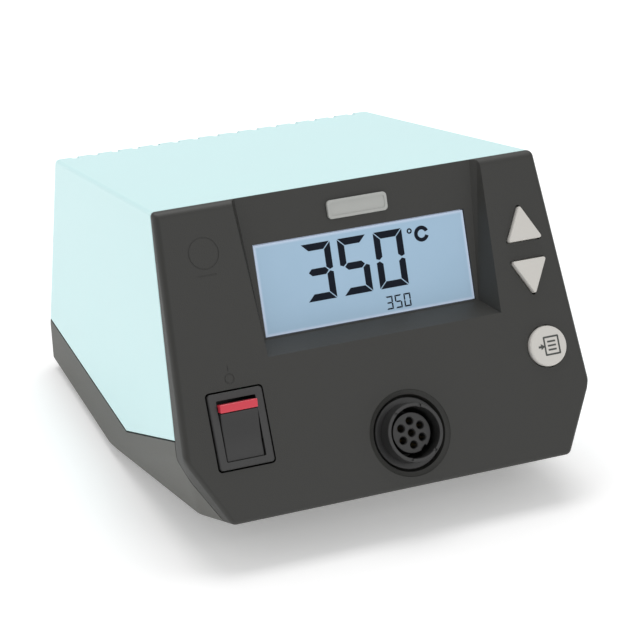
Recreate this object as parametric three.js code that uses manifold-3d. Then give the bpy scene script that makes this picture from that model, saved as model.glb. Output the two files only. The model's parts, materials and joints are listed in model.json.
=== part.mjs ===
// Soldering iron station: a low bench power unit with a sloping control panel.
// Units are millimetres. +X is to the right as seen from the front, +Y runs back and +Z is up.
// The origin lies under the middle of the whole unit, on the surface that the feet stand on.
import * as THREE from 'three';
import Module from 'manifold-3d';
import { ConvexGeometry } from 'three/addons/geometries/ConvexGeometry.js';
import { mergeVertices } from 'three/addons/utils/BufferGeometryUtils.js';

const wasm = await Module();
wasm.setup();

// ---------------------------------------------------------------- driving dimensions
// Side profile of the housing, as [y, z]
const PANEL_FOOT = [-75, 14.4];      // bottom edge of the control panel
const PANEL_HEAD = [-34.6, 93.3];    // top edge of the control panel
const TOP_REAR = [67.9, 71.7];       // rear edge of the sloping top
const BACK_KNEE = [75.1, 13.7];      // rearmost line, where the back turns under
const BACK_FOOT = [71.4, 2.5];       // rear edge of the flat underside
const UNDERSIDE_FRONT = [7.4, 2.5];  // front edge of the flat underside
const CHIN = [-56.7, 9.4];           // bend in the rising front underside
// Half width of the housing where y and z are 0, and how fast it narrows to the back and to the top
const HALF_WIDTH = 60.1;
const PLAN_TAPER = 0.06755;
const DRAFT = 0.03465;
const CHIN_HALF_WIDTH = 56;
const PANEL_FOOT_HALF_WIDTH = 52.7;
const PANEL_WIDEST_V = 20.2;         // height of the widest point, measured up the panel
// Joint between bezel and housing, and the border between cover and base, as [y, z]
const SEAM_TOP = [-31.7, 92.7];
const SEAM_WIDEST = [-58.6, 29.7];
const SEAM_FOOT = [-70.8, 12.7];
const BORDER_FRONT = [-56.6, 34];
const BORDER_BEND = [-10.2, 15.2];
const WALL = 2.5;
const GAP = 0.3;                     // clearance between neighbouring pieces
const SEAM_GAP = 0.4;

// Control panel features: x across, v up the panel, n out of the panel
const BUTTON_X = 50.6;
const BUTTON_PROUD = 1.4;
const BUTTON_HALF_BASE = 5.6;
const BUTTON_HEIGHT = 10.4;
const UP_BASE_V = 63.5;
const DOWN_BASE_V = 57.9;
const MENU_X = 51.5;
const MENU_V = 32.2;
const MENU_RADIUS = 5.9;
const BUTTON_CORNER = 0.9;
const BUTTON_TRAVEL = 0.8;
const SWITCH_X = -45.6;
const SWITCH_V = 26.1;
const SWITCH_WIDTH = 16.4;
const SWITCH_HEIGHT = 21.4;
const SWITCH_CORNER = 1;
const ROCKER_HALF_WIDTH = 5.6;
const ROCKER_HALF_LENGTH = 8.1;
const ROCKER_PIVOT_N = -2.6;
const ROCKER_REST_TILT = 9;          // degrees
const SOCKET_X = 4.3;
const SOCKET_V = 15.5;
const SOCKET_RADIUS = 8.55;
const SOCKET_BORE = 7.35;
const SOCKET_PROUD = 4;
const INSERT_RADIUS = 5.85;
const INSERT_FACE_N = 1;
const CONTACT_CIRCLE = 3.45;
const CONTACT_HOLE = 1.05;
const CONTACT_RADIUS = 0.75;
const DISH_RADIUS = 12.3;
const DISH_FLOOR_RADIUS = 10.6;
const DISH_DEPTH = 2.8;
// Display recess: the lip on the panel and the floor below it
const LIP_V = 44.1;
const LIP_LEFT = [-33.7, -35.9];     // at LIP_V and at the panel's top edge
const LIP_RIGHT = [39.2, 41.4];
const FLOOR_V = 49;
const FLOOR_LEFT = [-31.3, -34.1];
const FLOOR_RIGHT = [36.2, 39.3];
const FLOOR_DEPTH = [7, 2.5];        // at FLOOR_V and at the panel's top edge
const WINDOW_LEFT = -30.7;
const WINDOW_RIGHT = 35.4;
const WINDOW_V = 49.3;
const WINDOW_HEIGHT = 26.5;
const BOARD_N = -19.2;               // front face of the control board
const BOARD_THICKNESS = 1.6;

const REACH = 160;                   // reach of a cutter that passes the whole housing
const DEEP = 30;                     // and of one that passes a wall
const TRANSFORMER = { x: -20, y: 20, foot: 10, length: 66, height: 55, stack: 34, leg: 22, screw: 39.5 };
const POWER_BOARD = { x: 31, y: 0, z: 12, width: 38, length: 62 };
const INLET = { x: 19, z: 38, width: 27.4, height: 31.2 };
const FRONT_FOOT = { x: 36, y: -42, radius: 6, leg: 7 };
const REAR_FOOT = { x: 40, y: 58, radius: 6, leg: 4.5 };

// ---------------------------------------------------------------- finishes
const finish = (color, roughness, metalness = 0) => ({ color, roughness, metalness });
const AQUA = finish(0xbfe8ea, 0.42);
const ANTHRACITE = finish(0x3e3e3a, 0.62);
const BASE_GREY = finish(0x6a6964, 0.6);
const BUTTON_GREY = finish(0xc8c5be, 0.5);
const SWITCH_BLACK = finish(0x1e1e1e, 0.45);
const SIGNAL_RED = finish(0xd83c4b, 0.35);
const SOCKET_BLACK = finish(0x1b1b1b, 0.4);
const GLASS = finish(0x91acc3, 0.15);
const BACKLIGHT_WHITE = finish(0xf0f2f4, 0.5);
const BOARD_GREEN = finish(0x2e6b45, 0.5);
const STEEL = finish(0xa8aaad, 0.35, 0.9);
const BRASS = finish(0xc9a45a, 0.3, 0.9);
const ALUMINIUM = finish(0xb9bcc0, 0.4, 0.9);
const COPPER = finish(0xb5713d, 0.35, 0.8);
const NYLON = finish(0xe6e2d4, 0.5);
const RUBBER = finish(0x202020, 0.85);
const CAPACITOR_BLUE = finish(0x23355c, 0.35);

const station = new THREE.Group();

function addMesh(parent, name, geometry, look) {
  const material = new THREE.MeshStandardMaterial(look);
  const mesh = new THREE.Mesh(geometry, material);
  mesh.name = name;
  parent.add(mesh);
  return mesh;
}

// ---------------------------------------------------------------- solids
function toSolid(geometry) {
  const bare = geometry.clone();
  bare.deleteAttribute('normal');
  bare.deleteAttribute('uv');
  const merged = mergeVertices(bare, 1e-4);
  const vertProperties = Float32Array.from(merged.attributes.position.array);
  const triVerts = Uint32Array.from(merged.index.array);
  return new wasm.Manifold(new wasm.Mesh({ numProp: 3, vertProperties, triVerts }));
}

// The mesh of a solid's one body, without the films of no volume that touching faces can leave
function toGeometry(solid) {
  const [body] = solid.decompose().sort((a, b) => b.volume() - a.volume());
  const mesh = body.getMesh();
  const geometry = new THREE.BufferGeometry();
  geometry.setAttribute('position', new THREE.BufferAttribute(mesh.vertProperties, 3));
  geometry.setIndex(new THREE.BufferAttribute(mesh.triVerts, 1));
  return geometry;
}

function box(width, depth, height, x = 0, y = 0, z = 0) {
  return new THREE.BoxGeometry(width, depth, height).translate(x, y, z);
}

// A cylinder along Z whose base is at z
function post(radius, height, x = 0, y = 0, z = 0, sides = 24) {
  const geometry = new THREE.CylinderGeometry(radius, radius, height, sides);
  return geometry.rotateX(Math.PI / 2).translate(x, y, z + height / 2);
}

// A cylinder along X with its middle at the origin
function axle(radius, length) {
  return post(radius, length, 0, 0, -length / 2).rotateY(Math.PI / 2);
}

// A closed ring or disc turned round Z from [radius, z] points
function turned(points, sides = 32) {
  const profile = points.map(([radius, z]) => new THREE.Vector2(radius, z));
  if (THREE.ShapeUtils.area(profile) < 0) profile.reverse();
  return new THREE.LatheGeometry(profile, sides).rotateX(Math.PI / 2);
}

function outline(points) {
  return new THREE.Shape(points.map(([x, y]) => new THREE.Vector2(x, y)));
}

const CURVE_STEPS = 5;               // straight pieces in each rounded corner

// An outline in XY, raised along Z from z
function plate(shape, thickness, z = 0) {
  const options = { depth: thickness, bevelEnabled: false, curveSegments: CURVE_STEPS };
  return new THREE.ExtrudeGeometry(shape, options).translate(0, 0, z);
}

// A side profile of [y, z] points, drawn out along X from x
function sideExtrusion(points, width, x = -width / 2) {
  const options = { depth: width, bevelEnabled: false };
  const geometry = new THREE.ExtrudeGeometry(outline(points), options);
  const turn = new THREE.Matrix4().set(0, 0, 1, x, 1, 0, 0, 0, 0, 1, 0, 0, 0, 0, 0, 1);
  return geometry.applyMatrix4(turn);
}

function roundedOutline(points, radius) {
  const corners = points.map(([x, y]) => new THREE.Vector2(x, y));
  const shape = new THREE.Shape();
  corners.forEach((corner, index) => {
    const before = corners[(index + corners.length - 1) % corners.length];
    const after = corners[(index + 1) % corners.length];
    const back = before.clone().sub(corner).normalize();
    const ahead = after.clone().sub(corner).normalize();
    const reach = radius / Math.tan(Math.acos(back.dot(ahead)) / 2);
    const start = corner.clone().addScaledVector(back, reach);
    const end = corner.clone().addScaledVector(ahead, reach);
    if (index === 0) shape.moveTo(start.x, start.y);
    else shape.lineTo(start.x, start.y);
    shape.quadraticCurveTo(corner.x, corner.y, end.x, end.y);
  });
  shape.closePath();
  return shape;
}

function rectangle(width, height, x = 0, y = 0) {
  const [right, top] = [x + width / 2, y + height / 2];
  return [[x - width / 2, y - height / 2], [right, y - height / 2], [right, top], [x - width / 2, top]];
}

// The other half of a run of points, mirrored and in order round the outline
const mirrored = (points) => points.map(([x, y]) => [-x, y]).reverse();

// ---------------------------------------------------------------- housing planes
const halfWidth = (y, z) => HALF_WIDTH - PLAN_TAPER * y - DRAFT * z;
const INSIDE = new THREE.Vector3(0, 0, 45);
const panelRun = new THREE.Vector2(PANEL_HEAD[0] - PANEL_FOOT[0], PANEL_HEAD[1] - PANEL_FOOT[1]);
const PANEL_LENGTH = panelRun.length();
const PANEL_TURN = Math.atan2(panelRun.y, panelRun.x);
const up = panelRun.clone().normalize();

function planeThrough(a, b, c) {
  const plane = new THREE.Plane().setFromCoplanarPoints(a, b, c);
  if (plane.distanceToPoint(INSIDE) > 0) plane.negate();
  return plane;
}

// The plane that crosses the housing through two points of its side profile
function crossPlane([y1, z1], [y2, z2]) {
  const across = new THREE.Vector3(1, y1, z1);
  return planeThrough(new THREE.Vector3(0, y1, z1), new THREE.Vector3(0, y2, z2), across);
}

function flankPlanes(side) {
  const at = ([y, z], half = halfWidth(y, z)) => new THREE.Vector3(side * half, y, z);
  const widest = at([PANEL_FOOT[0] + up.x * PANEL_WIDEST_V, PANEL_FOOT[1] + up.y * PANEL_WIDEST_V]);
  const chin = at(CHIN, CHIN_HALF_WIDTH);
  const foot = at(PANEL_FOOT, PANEL_FOOT_HALF_WIDTH);
  const corner = at(UNDERSIDE_FRONT);
  return [
    planeThrough(at(SEAM_TOP), at(SEAM_WIDEST), at(TOP_REAR)),
    planeThrough(widest, corner, chin),
    planeThrough(widest, chin, foot),
  ];
}

const profile = [PANEL_FOOT, PANEL_HEAD, TOP_REAR, BACK_KNEE, BACK_FOOT, UNDERSIDE_FRONT, CHIN];
const profilePlanes = profile.map((point, index) => crossPlane(point, profile[(index + 1) % profile.length]));
const housingPlanes = [...profilePlanes, ...flankPlanes(-1), ...flankPlanes(1)];

function meeting(a, b, c) {
  const bc = b.normal.clone().cross(c.normal);
  const scale = a.normal.dot(bc);
  if (Math.abs(scale) < 1e-6) return null;
  const point = bc.multiplyScalar(-a.constant);
  point.addScaledVector(c.normal.clone().cross(a.normal), -b.constant);
  point.addScaledVector(a.normal.clone().cross(b.normal), -c.constant);
  return point.divideScalar(scale);
}

// The convex body inside all the housing planes, with every plane moved in by inset
function housingBody(inset) {
  const planes = housingPlanes.map((plane) => new THREE.Plane(plane.normal, plane.constant + inset));
  const corners = [];
  for (let i = 0; i < planes.length; i += 1) {
    for (let j = i + 1; j < planes.length; j += 1) {
      for (let k = j + 1; k < planes.length; k += 1) {
        const point = meeting(planes[i], planes[j], planes[k]);
        const inside = point && planes.every((plane) => plane.distanceToPoint(point) < 1e-4);
        if (inside && !corners.some((other) => other.distanceTo(point) < 1e-3)) corners.push(point);
      }
    }
  }
  return toSolid(new ConvexGeometry(corners));
}

const outerBody = housingBody(0);
const cavity = housingBody(WALL);

// The point that lies on the line from one point through another, reach further up or down
function beyond([y1, z1], [y2, z2], reach) {
  const rise = Math.sign(z2 - z1) * reach;
  return [y2 + (rise * (y2 - y1)) / (z2 - z1), z2 + rise];
}

// Everything in front of the seam, moved back by shift
function frontOfSeam(shift) {
  const head = beyond(SEAM_WIDEST, SEAM_TOP, DEEP);
  const foot = beyond(SEAM_WIDEST, SEAM_FOOT, DEEP);
  const seam = [head, SEAM_WIDEST, foot].map(([y, z]) => [y + shift, z]);
  return toSolid(sideExtrusion([...seam, [-REACH, foot[1]], [-REACH, head[1]]], REACH));
}

// Everything under the border between cover and base, moved up by shift
function underBorder(shift) {
  const [frontY, frontZ] = beyond(BORDER_BEND, BORDER_FRONT, DEEP);
  const level = BORDER_BEND[1] + shift;
  const top = [[REACH, level], [BORDER_BEND[0], level], [frontY, frontZ + shift]];
  return toSolid(sideExtrusion([[frontY, -DEEP], [REACH, -DEEP], ...top], REACH));
}

// ---------------------------------------------------------------- panel frame
const panel = new THREE.Group();
panel.position.set(0, ...PANEL_FOOT);
panel.rotation.x = PANEL_TURN;
panel.updateMatrixWorld();
station.add(panel);

const FLOOR_TILT = Math.atan2(FLOOR_DEPTH[0] - FLOOR_DEPTH[1], PANEL_LENGTH - FLOOR_V);
const display = new THREE.Group();
display.position.set(0, WINDOW_V, -FLOOR_DEPTH[0]);
display.rotation.x = FLOOR_TILT;
panel.add(display);
display.updateMatrixWorld();

const onPanel = (geometry) => toSolid(geometry.clone().applyMatrix4(panel.matrixWorld));
const onDisplay = (geometry) => toSolid(geometry.clone().applyMatrix4(display.matrixWorld));

// The space of the display recess, grown by skin on its sides and floor
function recessBody(skin) {
  const top = PANEL_LENGTH + 6;      // past the panel's top edge
  const lift = 20;
  const along = (pair, from, v) => pair[0] + ((pair[1] - pair[0]) * (v - from)) / (PANEL_LENGTH - from);
  const points = [];
  for (const v of [LIP_V, top]) {
    const rim = v === top ? 0 : skin;
    for (const n of [0, lift]) {
      points.push([along(LIP_LEFT, LIP_V, v) - skin, v - rim, n]);
      points.push([along(LIP_RIGHT, LIP_V, v) + skin, v - rim, n]);
    }
  }
  for (const v of [FLOOR_V, top]) {
    const rim = v === top ? 0 : skin;
    const depth = along(FLOOR_DEPTH, FLOOR_V, v) + skin;
    points.push([along(FLOOR_LEFT, FLOOR_V, v) - skin, v - rim, -depth]);
    points.push([along(FLOOR_RIGHT, FLOOR_V, v) + skin, v - rim, -depth]);
  }
  return onPanel(new ConvexGeometry(points.map((point) => new THREE.Vector3(...point))));
}

const WINDOW_X = (WINDOW_LEFT + WINDOW_RIGHT) / 2;
const WINDOW_WIDTH = WINDOW_RIGHT - WINDOW_LEFT;

// A plate centred on the display window, down from top
function layer(width, height, top, thickness) {
  return box(width, height, thickness, WINDOW_X, WINDOW_HEIGHT / 2, top - thickness / 2);
}

// A rounded triangle that stands on y = 0, grown outwards all round by grow
function triangle(grow) {
  const slant = Math.hypot(BUTTON_HALF_BASE, BUTTON_HEIGHT);
  const base = BUTTON_HALF_BASE + (grow * (slant + BUTTON_HALF_BASE)) / BUTTON_HEIGHT;
  const tip = BUTTON_HEIGHT + (grow * slant) / BUTTON_HALF_BASE;
  return roundedOutline([[-base, -grow], [base, -grow], [0, tip]], BUTTON_CORNER + grow);
}

function disc(radius, sides = 32) {
  const spots = Array.from({ length: sides }, (_, index) => (2 * Math.PI * index) / sides);
  return outline(spots.map((angle) => [radius * Math.cos(angle), radius * Math.sin(angle)]));
}

function place(geometry, x, v, turn = 0) {
  return geometry.rotateZ(turn).translate(x, v, 0);
}

const pressButtons = [
  { name: 'up', x: BUTTON_X, v: UP_BASE_V, turn: 0, centre: 3.4, shape: triangle },
  { name: 'down', x: BUTTON_X, v: DOWN_BASE_V, turn: Math.PI, centre: 3.4, shape: triangle },
  { name: 'menu', x: MENU_X, v: MENU_V, turn: 0, centre: 0, shape: (grow) => disc(MENU_RADIUS + grow) },
];

// ---------------------------------------------------------------- bezel
const TRAY_WALL = 2;
const HOLE_GAP = 0.35;
const POST_RADIUS = 2.6;
const POST_ROOT = -1.5;              // the posts start inside the panel's wall
const boardPosts = [-32, 40].flatMap((x) => [[x, 33], [x, 83.5]]);

// A cutter of an outline on the panel, through its wall
const through = (shape) => plate(shape, 2 * DEEP, -DEEP);

// The socket's dish as a solid, thickened by wall and raised by lift above the panel
function dishBody(wall, lift) {
  const rim = [[DISH_RADIUS + wall, lift], [DISH_RADIUS + wall, 0]];
  const depth = -DISH_DEPTH - wall;
  return turned([[0, lift], ...rim, [DISH_FLOOR_RADIUS + wall, depth], [0, depth]]);
}

function frontBezel() {
  const tray = recessBody(TRAY_WALL);
  const dishWall = onPanel(place(dishBody(TRAY_WALL, 0.5), SOCKET_X, SOCKET_V));
  const postFoot = BOARD_N + GAP;
  let inner = tray;
  for (const [x, v] of boardPosts) {
    inner = inner.add(onPanel(post(POST_RADIUS, POST_ROOT - postFoot, x, v, postFoot)));
  }
  inner = inner.intersect(housingBody(WALL + GAP));
  const hollow = cavity.subtract(tray).subtract(dishWall).subtract(inner);
  let bezel = outerBody.intersect(frontOfSeam(-SEAM_GAP / 2)).add(inner).subtract(hollow);
  bezel = bezel.subtract(recessBody(0)).subtract(onDisplay(layer(WINDOW_WIDTH, WINDOW_HEIGHT, 6, 12)));
  for (const { shape, x, v, turn } of pressButtons) {
    bezel = bezel.subtract(onPanel(place(through(shape(HOLE_GAP)), x, v, turn)));
  }
  const switchHole = rectangle(SWITCH_WIDTH + 2 * SEAM_GAP, SWITCH_HEIGHT + 2 * SEAM_GAP);
  const switchCut = through(roundedOutline(switchHole, SWITCH_CORNER));
  bezel = bezel.subtract(onPanel(place(switchCut, SWITCH_X, SWITCH_V)));
  bezel = bezel.subtract(onPanel(place(dishBody(0, 5), SOCKET_X, SOCKET_V)));
  const bore = post(SOCKET_RADIUS + GAP, 2 * DEEP, 0, 0, -DEEP, 48);
  return bezel.subtract(onPanel(place(bore, SOCKET_X, SOCKET_V)));
}

addMesh(station, 'front_bezel', toGeometry(frontBezel()), ANTHRACITE);

// ---------------------------------------------------------------- back frame
// Local Y points straight out of the sloping back and local Z runs up it
const BACK_LEAN = Math.atan2(BACK_KNEE[0] - TOP_REAR[0], TOP_REAR[1] - BACK_KNEE[1]);
const back = new THREE.Group();
back.position.set(0, ...BACK_KNEE);
back.rotation.x = BACK_LEAN;
back.updateMatrixWorld();
station.add(back);
const onBack = (geometry) => toSolid(geometry.clone().applyMatrix4(back.matrixWorld));

// Turns a shape that stands on +Z to point out of the back
const outward = (geometry) => geometry.rotateX(-Math.PI / 2);

// A pan head screw that points along -Z from the surface at z = 0
function screw({ head, shank, length }) {
  const [rim, crown] = [GAP + 1, GAP + 1.8];
  const dome = [[head, GAP], [head, rim], [head * 0.7, crown], [0, crown]];
  return turned([[0, -length], [shank, -length], [shank, GAP], ...dome], 12);
}

// ---------------------------------------------------------------- cover, base and rear panel
const BACK_WINDOW_HALF = 44.5;
const BACK_WINDOW_TOP = 46;
const COVER_SCREW = [48.6, 8];
const PANEL_SCREW = [39.5, 8];
const SLOT_COUNT = 15;
const SLOT_PITCH = 6.7;
const SLOT = [2.4, 10, 26];          // width, reach forwards and height of each vent slot
const SLOT_CENTRE = [TOP_REAR[0] + 1.6, TOP_REAR[1] - 1];
const CLEARANCE_HOLE = 1.7;
const BOSS_HOLE = 1.65;
const BACK_SCREW = { head: 2.7, shank: 1.35, length: 11 };
const INLET_W = INLET.z - BACK_KNEE[1];
const JACK = { x: -38, w: 30, radius: 3.8, collar: 5.6, bore: 2, depth: 12, proud: 2 };

function backHole(x, w, radius, sides = 12) {
  return onBack(outward(post(radius, DEEP, 0, 0, -DEEP / 2, sides)).translate(x, 0, w));
}

function screwHole([x, w], side, radius) {
  return backHole(side * x, w, radius);
}

function topCover() {
  const behindSeam = outerBody.subtract(frontOfSeam(SEAM_GAP / 2));
  let cover = behindSeam.subtract(underBorder(SEAM_GAP / 2)).subtract(cavity);
  const windowHeight = BACK_WINDOW_TOP + DEEP;
  const middle = BACK_WINDOW_TOP - windowHeight / 2;
  cover = cover.subtract(onBack(box(2 * BACK_WINDOW_HALF, DEEP, windowHeight, 0, 0, middle)));
  for (let index = 0; index < SLOT_COUNT; index += 1) {
    const x = (index - (SLOT_COUNT - 1) / 2) * SLOT_PITCH;
    cover = cover.subtract(toSolid(box(...SLOT, x, ...SLOT_CENTRE)));
  }
  for (const side of [-1, 1]) cover = cover.subtract(screwHole(COVER_SCREW, side, CLEARANCE_HOLE));
  return cover;
}

const FLOOR_TOP = BACK_FOOT[1] + WALL;
const FOOT_STEM = 2;                 // radius of the stem that presses into the base
const FOOT_STEM_TOP = 4.4;
const footSpots = [FRONT_FOOT, REAR_FOOT].flatMap((foot) => [{ ...foot, x: -foot.x }, foot]);
const transformerFeet = [-1, 1].map((side) => [TRANSFORMER.x, TRANSFORMER.y + side * TRANSFORMER.screw]);
const boardFeet = [-15, 15].flatMap((x) => [-28, 27].map((y) => [POWER_BOARD.x + x, POWER_BOARD.y + y]));
const PILLAR_ROOT = 3;               // pillars start inside the floor
const FLOOR_SLOTS = { count: 9, pitch: 5, y: 12, columns: [-20, 30], length: 26, width: 2.6 };
const FLOOR_SLOT_TOP = 6;
const SCREW_BOSS = { x: 43.2, width: 15.4, depth: 9, height: 24 };

function baseShell() {
  const behindSeam = outerBody.subtract(frontOfSeam(SEAM_GAP / 2));
  const inBase = behindSeam.intersect(underBorder(-SEAM_GAP / 2));
  let base = inBase.subtract(cavity);
  const floorRoom = housingBody(WALL + GAP).add(inBase);
  const pillar = (radius, top, x, y) => toSolid(post(radius, top - PILLAR_ROOT, x, y, PILLAR_ROOT));
  const pillars = [
    ...transformerFeet.map(([x, y]) => pillar(5, TRANSFORMER.foot, x, y)),
    ...boardFeet.map(([x, y]) => pillar(3, POWER_BOARD.z - GAP, x, y)),
  ];
  for (const one of pillars) base = base.add(one.intersect(floorRoom));
  const bossDepth = -WALL - GAP - SCREW_BOSS.depth / 2;
  for (const side of [-1, 1]) {
    const { width, depth, height, x } = SCREW_BOSS;
    base = base.add(onBack(box(width, depth, height, side * x, bossDepth, 0)).intersect(floorRoom));
    for (const spot of [COVER_SCREW, PANEL_SCREW]) base = base.subtract(screwHole(spot, side, BOSS_HOLE));
  }
  for (const { radius, leg, x, y } of footSpots) {
    base = base.add(toSolid(post(radius + 1, leg, x, y, BACK_FOOT[1])));
    base = base.subtract(toSolid(post(FOOT_STEM + GAP, FOOT_STEM_TOP + GAP, x, y, 0)));
  }
  for (const [x, y] of transformerFeet) {
    base = base.subtract(toSolid(post(1.6, TRANSFORMER.foot, x, y, FLOOR_TOP + 0.6)));
  }
  for (let index = 0; index < FLOOR_SLOTS.count; index += 1) {
    for (const x of FLOOR_SLOTS.columns) {
      const y = FLOOR_SLOTS.y + index * FLOOR_SLOTS.pitch;
      base = base.subtract(toSolid(box(FLOOR_SLOTS.length, FLOOR_SLOTS.width, 2 * FLOOR_SLOT_TOP, x, y)));
    }
  }
  return base;
}

const REAR_SLOTS = { count: 7, pitch: 4.4, x: -14, w: 14, length: 34, width: 2 };

function rearPanel() {
  const low = BORDER_BEND[1] - BACK_KNEE[1] + SEAM_GAP;
  const height = BACK_WINDOW_TOP - SEAM_GAP - low;
  const width = 2 * (BACK_WINDOW_HALF - SEAM_GAP);
  let sheet = onBack(box(width, WALL, height, 0, -WALL / 2, low + height / 2));
  const inletHole = box(INLET.width + 2 * GAP, DEEP, INLET.height + 2 * GAP, INLET.x, 0, INLET_W);
  sheet = sheet.subtract(onBack(inletHole)).subtract(backHole(JACK.x, JACK.w, JACK.radius + GAP, 24));
  for (let index = 0; index < REAR_SLOTS.count; index += 1) {
    const w = REAR_SLOTS.w + index * REAR_SLOTS.pitch;
    sheet = sheet.subtract(onBack(box(REAR_SLOTS.length, DEEP, REAR_SLOTS.width, REAR_SLOTS.x, 0, w)));
  }
  for (const side of [-1, 1]) sheet = sheet.subtract(screwHole(PANEL_SCREW, side, CLEARANCE_HOLE));
  return sheet;
}

addMesh(station, 'top_cover', toGeometry(topCover()), AQUA);
addMesh(station, 'base_shell', toGeometry(baseShell()), BASE_GREY);
addMesh(station, 'rear_panel', toGeometry(rearPanel()), BASE_GREY);

for (const [side, hand] of [[-1, 'left'], [1, 'right']]) {
  for (const [kind, [x, w]] of [['cover', COVER_SCREW], ['rear_panel', PANEL_SCREW]]) {
    const fastener = addMesh(back, `${kind}_screw_${hand}`, outward(screw(BACK_SCREW)), STEEL);
    fastener.position.set(side * x, 0, w);
  }
}

for (const { x, y, radius } of footSpots) {
  const name = `foot_${y < 0 ? 'front' : 'rear'}_${x < 0 ? 'left' : 'right'}`;
  const rim = BACK_FOOT[1] - GAP;
  const sole = [[0, 0], [radius - 0.6, 0], [radius, 0.6], [radius, rim]];
  const stem = [[FOOT_STEM, rim], [FOOT_STEM, FOOT_STEM_TOP], [0, FOOT_STEM_TOP]];
  const foot = addMesh(station, name, turned([...sole, ...stem], 20), RUBBER);
  foot.position.set(x, y, 0);
}

// ---------------------------------------------------------------- buttons and their switches
const TACT_SIZE = 6;
const TACT_HEIGHT = 3.4;
const FLANGE_N = -WALL - GAP;
const FLANGE_REACH = 1.2;
const STEM_RADIUS = 2;

for (const { name, x, v, turn, centre, shape } of pressButtons) {
  const cap = toSolid(plate(shape(0), BUTTON_PROUD - FLANGE_N, FLANGE_N));
  const flange = toSolid(plate(shape(FLANGE_REACH), 1, FLANGE_N - 1));
  const stemEnd = BOARD_N + TACT_HEIGHT + GAP + BUTTON_TRAVEL;
  const stem = toSolid(post(STEM_RADIUS, FLANGE_N - stemEnd, 0, centre, stemEnd, 20));
  const button = addMesh(panel, `button_${name}`, toGeometry(cap.add(flange).add(stem)), BUTTON_GREY);
  button.position.set(x, v, 0);
  button.rotation.z = turn;
  const body = box(TACT_SIZE, TACT_SIZE, TACT_HEIGHT - GAP, 0, 0, TACT_HEIGHT / 2);
  const tact = addMesh(panel, `tact_switch_${name}`, body, SWITCH_BLACK);
  tact.position.set(x, v + centre * Math.cos(turn), BOARD_N + GAP / 2);
}

function controlBoard() {
  const edge = [[-37, 28], [55.5, 28], [54.5, 87], [-37, 87]];
  return plate(outline(edge), BOARD_THICKNESS, BOARD_N - BOARD_THICKNESS);
}
addMesh(panel, 'control_board', controlBoard(), BOARD_GREEN);

// ---------------------------------------------------------------- display stack
// The lens steps up into the window, and a holder keeps the panel and its backlight behind it
const STACK_TOP = -TRAY_WALL - HOLE_GAP;
const LENS_STEP = 3;
const LENS_FLANGE = 1.2;
const SHEET = 2.4;                   // thickness of the panel and of the backlight
const SHEET_WIDTH = WINDOW_WIDTH + 2.6;
const SHEET_HEIGHT = WINDOW_HEIGHT + 5;
const SHEET_TOP = STACK_TOP - LENS_FLANGE - SEAM_GAP;
const HOLDER_RIM = 1.5;

const lensStep = layer(WINDOW_WIDTH - 2 * GAP, WINDOW_HEIGHT - 2 * GAP, -GAP, LENS_STEP);
const lensFlange = layer(WINDOW_WIDTH + 3.4, WINDOW_HEIGHT + 3.4, STACK_TOP, LENS_FLANGE);
addMesh(display, 'display_lens', toGeometry(toSolid(lensStep).add(toSolid(lensFlange))), GLASS);
addMesh(display, 'lcd_panel', layer(SHEET_WIDTH, SHEET_HEIGHT, SHEET_TOP, SHEET), GLASS);
const backlight = layer(SHEET_WIDTH, SHEET_HEIGHT, SHEET_TOP - SHEET - GAP, SHEET);
addMesh(display, 'backlight', backlight, BACKLIGHT_WHITE);
const holder = layer(SHEET_WIDTH + 2 * HOLDER_RIM, SHEET_HEIGHT + 2 * HOLDER_RIM, SHEET_TOP, 2 * SHEET + 0.5);
const holderHole = layer(SHEET_WIDTH + 2 * GAP, SHEET_HEIGHT + 2 * GAP, 0, DEEP);
addMesh(display, 'lcd_holder', toGeometry(toSolid(holder).subtract(toSolid(holderHole))), NYLON);

const BADGE = { width: 18.6, height: 5.4, thickness: 0.6, corner: 1.2, v: 32.7 };
const badgeShape = roundedOutline(rectangle(BADGE.width, BADGE.height), BADGE.corner);
const badge = addMesh(display, 'badge_plate', plate(badgeShape, BADGE.thickness, GAP), ANTHRACITE);
badge.position.set(WINDOW_X, BADGE.v, 0);

// ---------------------------------------------------------------- mains switch
const SWITCH_PROUD = 0.4;
const SWITCH_RIM = 3;                // thickness of the frame that shows round the paddle
const SWITCH_BACK = -18;
const SWITCH_BODY = { width: 13.4, length: 19, depth: 17 };
const WELL_FLOOR = -10;
const TRUNNION_RADIUS = 1.1;
const TRUNNION_SPAN = 2 * (ROCKER_HALF_WIDTH + 0.6);
const BLADE = { width: 6.3, thickness: 0.8, length: 9, v: 4.6 };
const switchGroup = new THREE.Group();
switchGroup.position.set(SWITCH_X, SWITCH_V, 0);
panel.add(switchGroup);

function switchHousing() {
  const face = roundedOutline(rectangle(SWITCH_WIDTH, SWITCH_HEIGHT), SWITCH_CORNER);
  const { width, length, depth } = SWITCH_BODY;
  const body = box(width, length, depth, 0, 0, SWITCH_BACK + depth / 2);
  const wellWidth = 2 * (ROCKER_HALF_WIDTH + GAP);
  const wellLength = 2 * (ROCKER_HALF_LENGTH + 0.5);
  const well = box(wellWidth, wellLength, DEEP, 0, 0, WELL_FLOOR + DEEP / 2);
  const pivotRadius = TRUNNION_RADIUS + GAP;
  const pivotSpan = TRUNNION_SPAN + 2 * GAP;
  const pivot = axle(pivotRadius, pivotSpan).translate(0, 0, ROCKER_PIVOT_N);
  const slot = box(pivotSpan, 2 * pivotRadius, 6, 0, 0, ROCKER_PIVOT_N - 3);
  const frame = toSolid(plate(face, SWITCH_RIM, SWITCH_PROUD - SWITCH_RIM)).add(toSolid(body));
  return frame.subtract(toSolid(well)).subtract(toSolid(pivot)).subtract(toSolid(slot));
}

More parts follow.
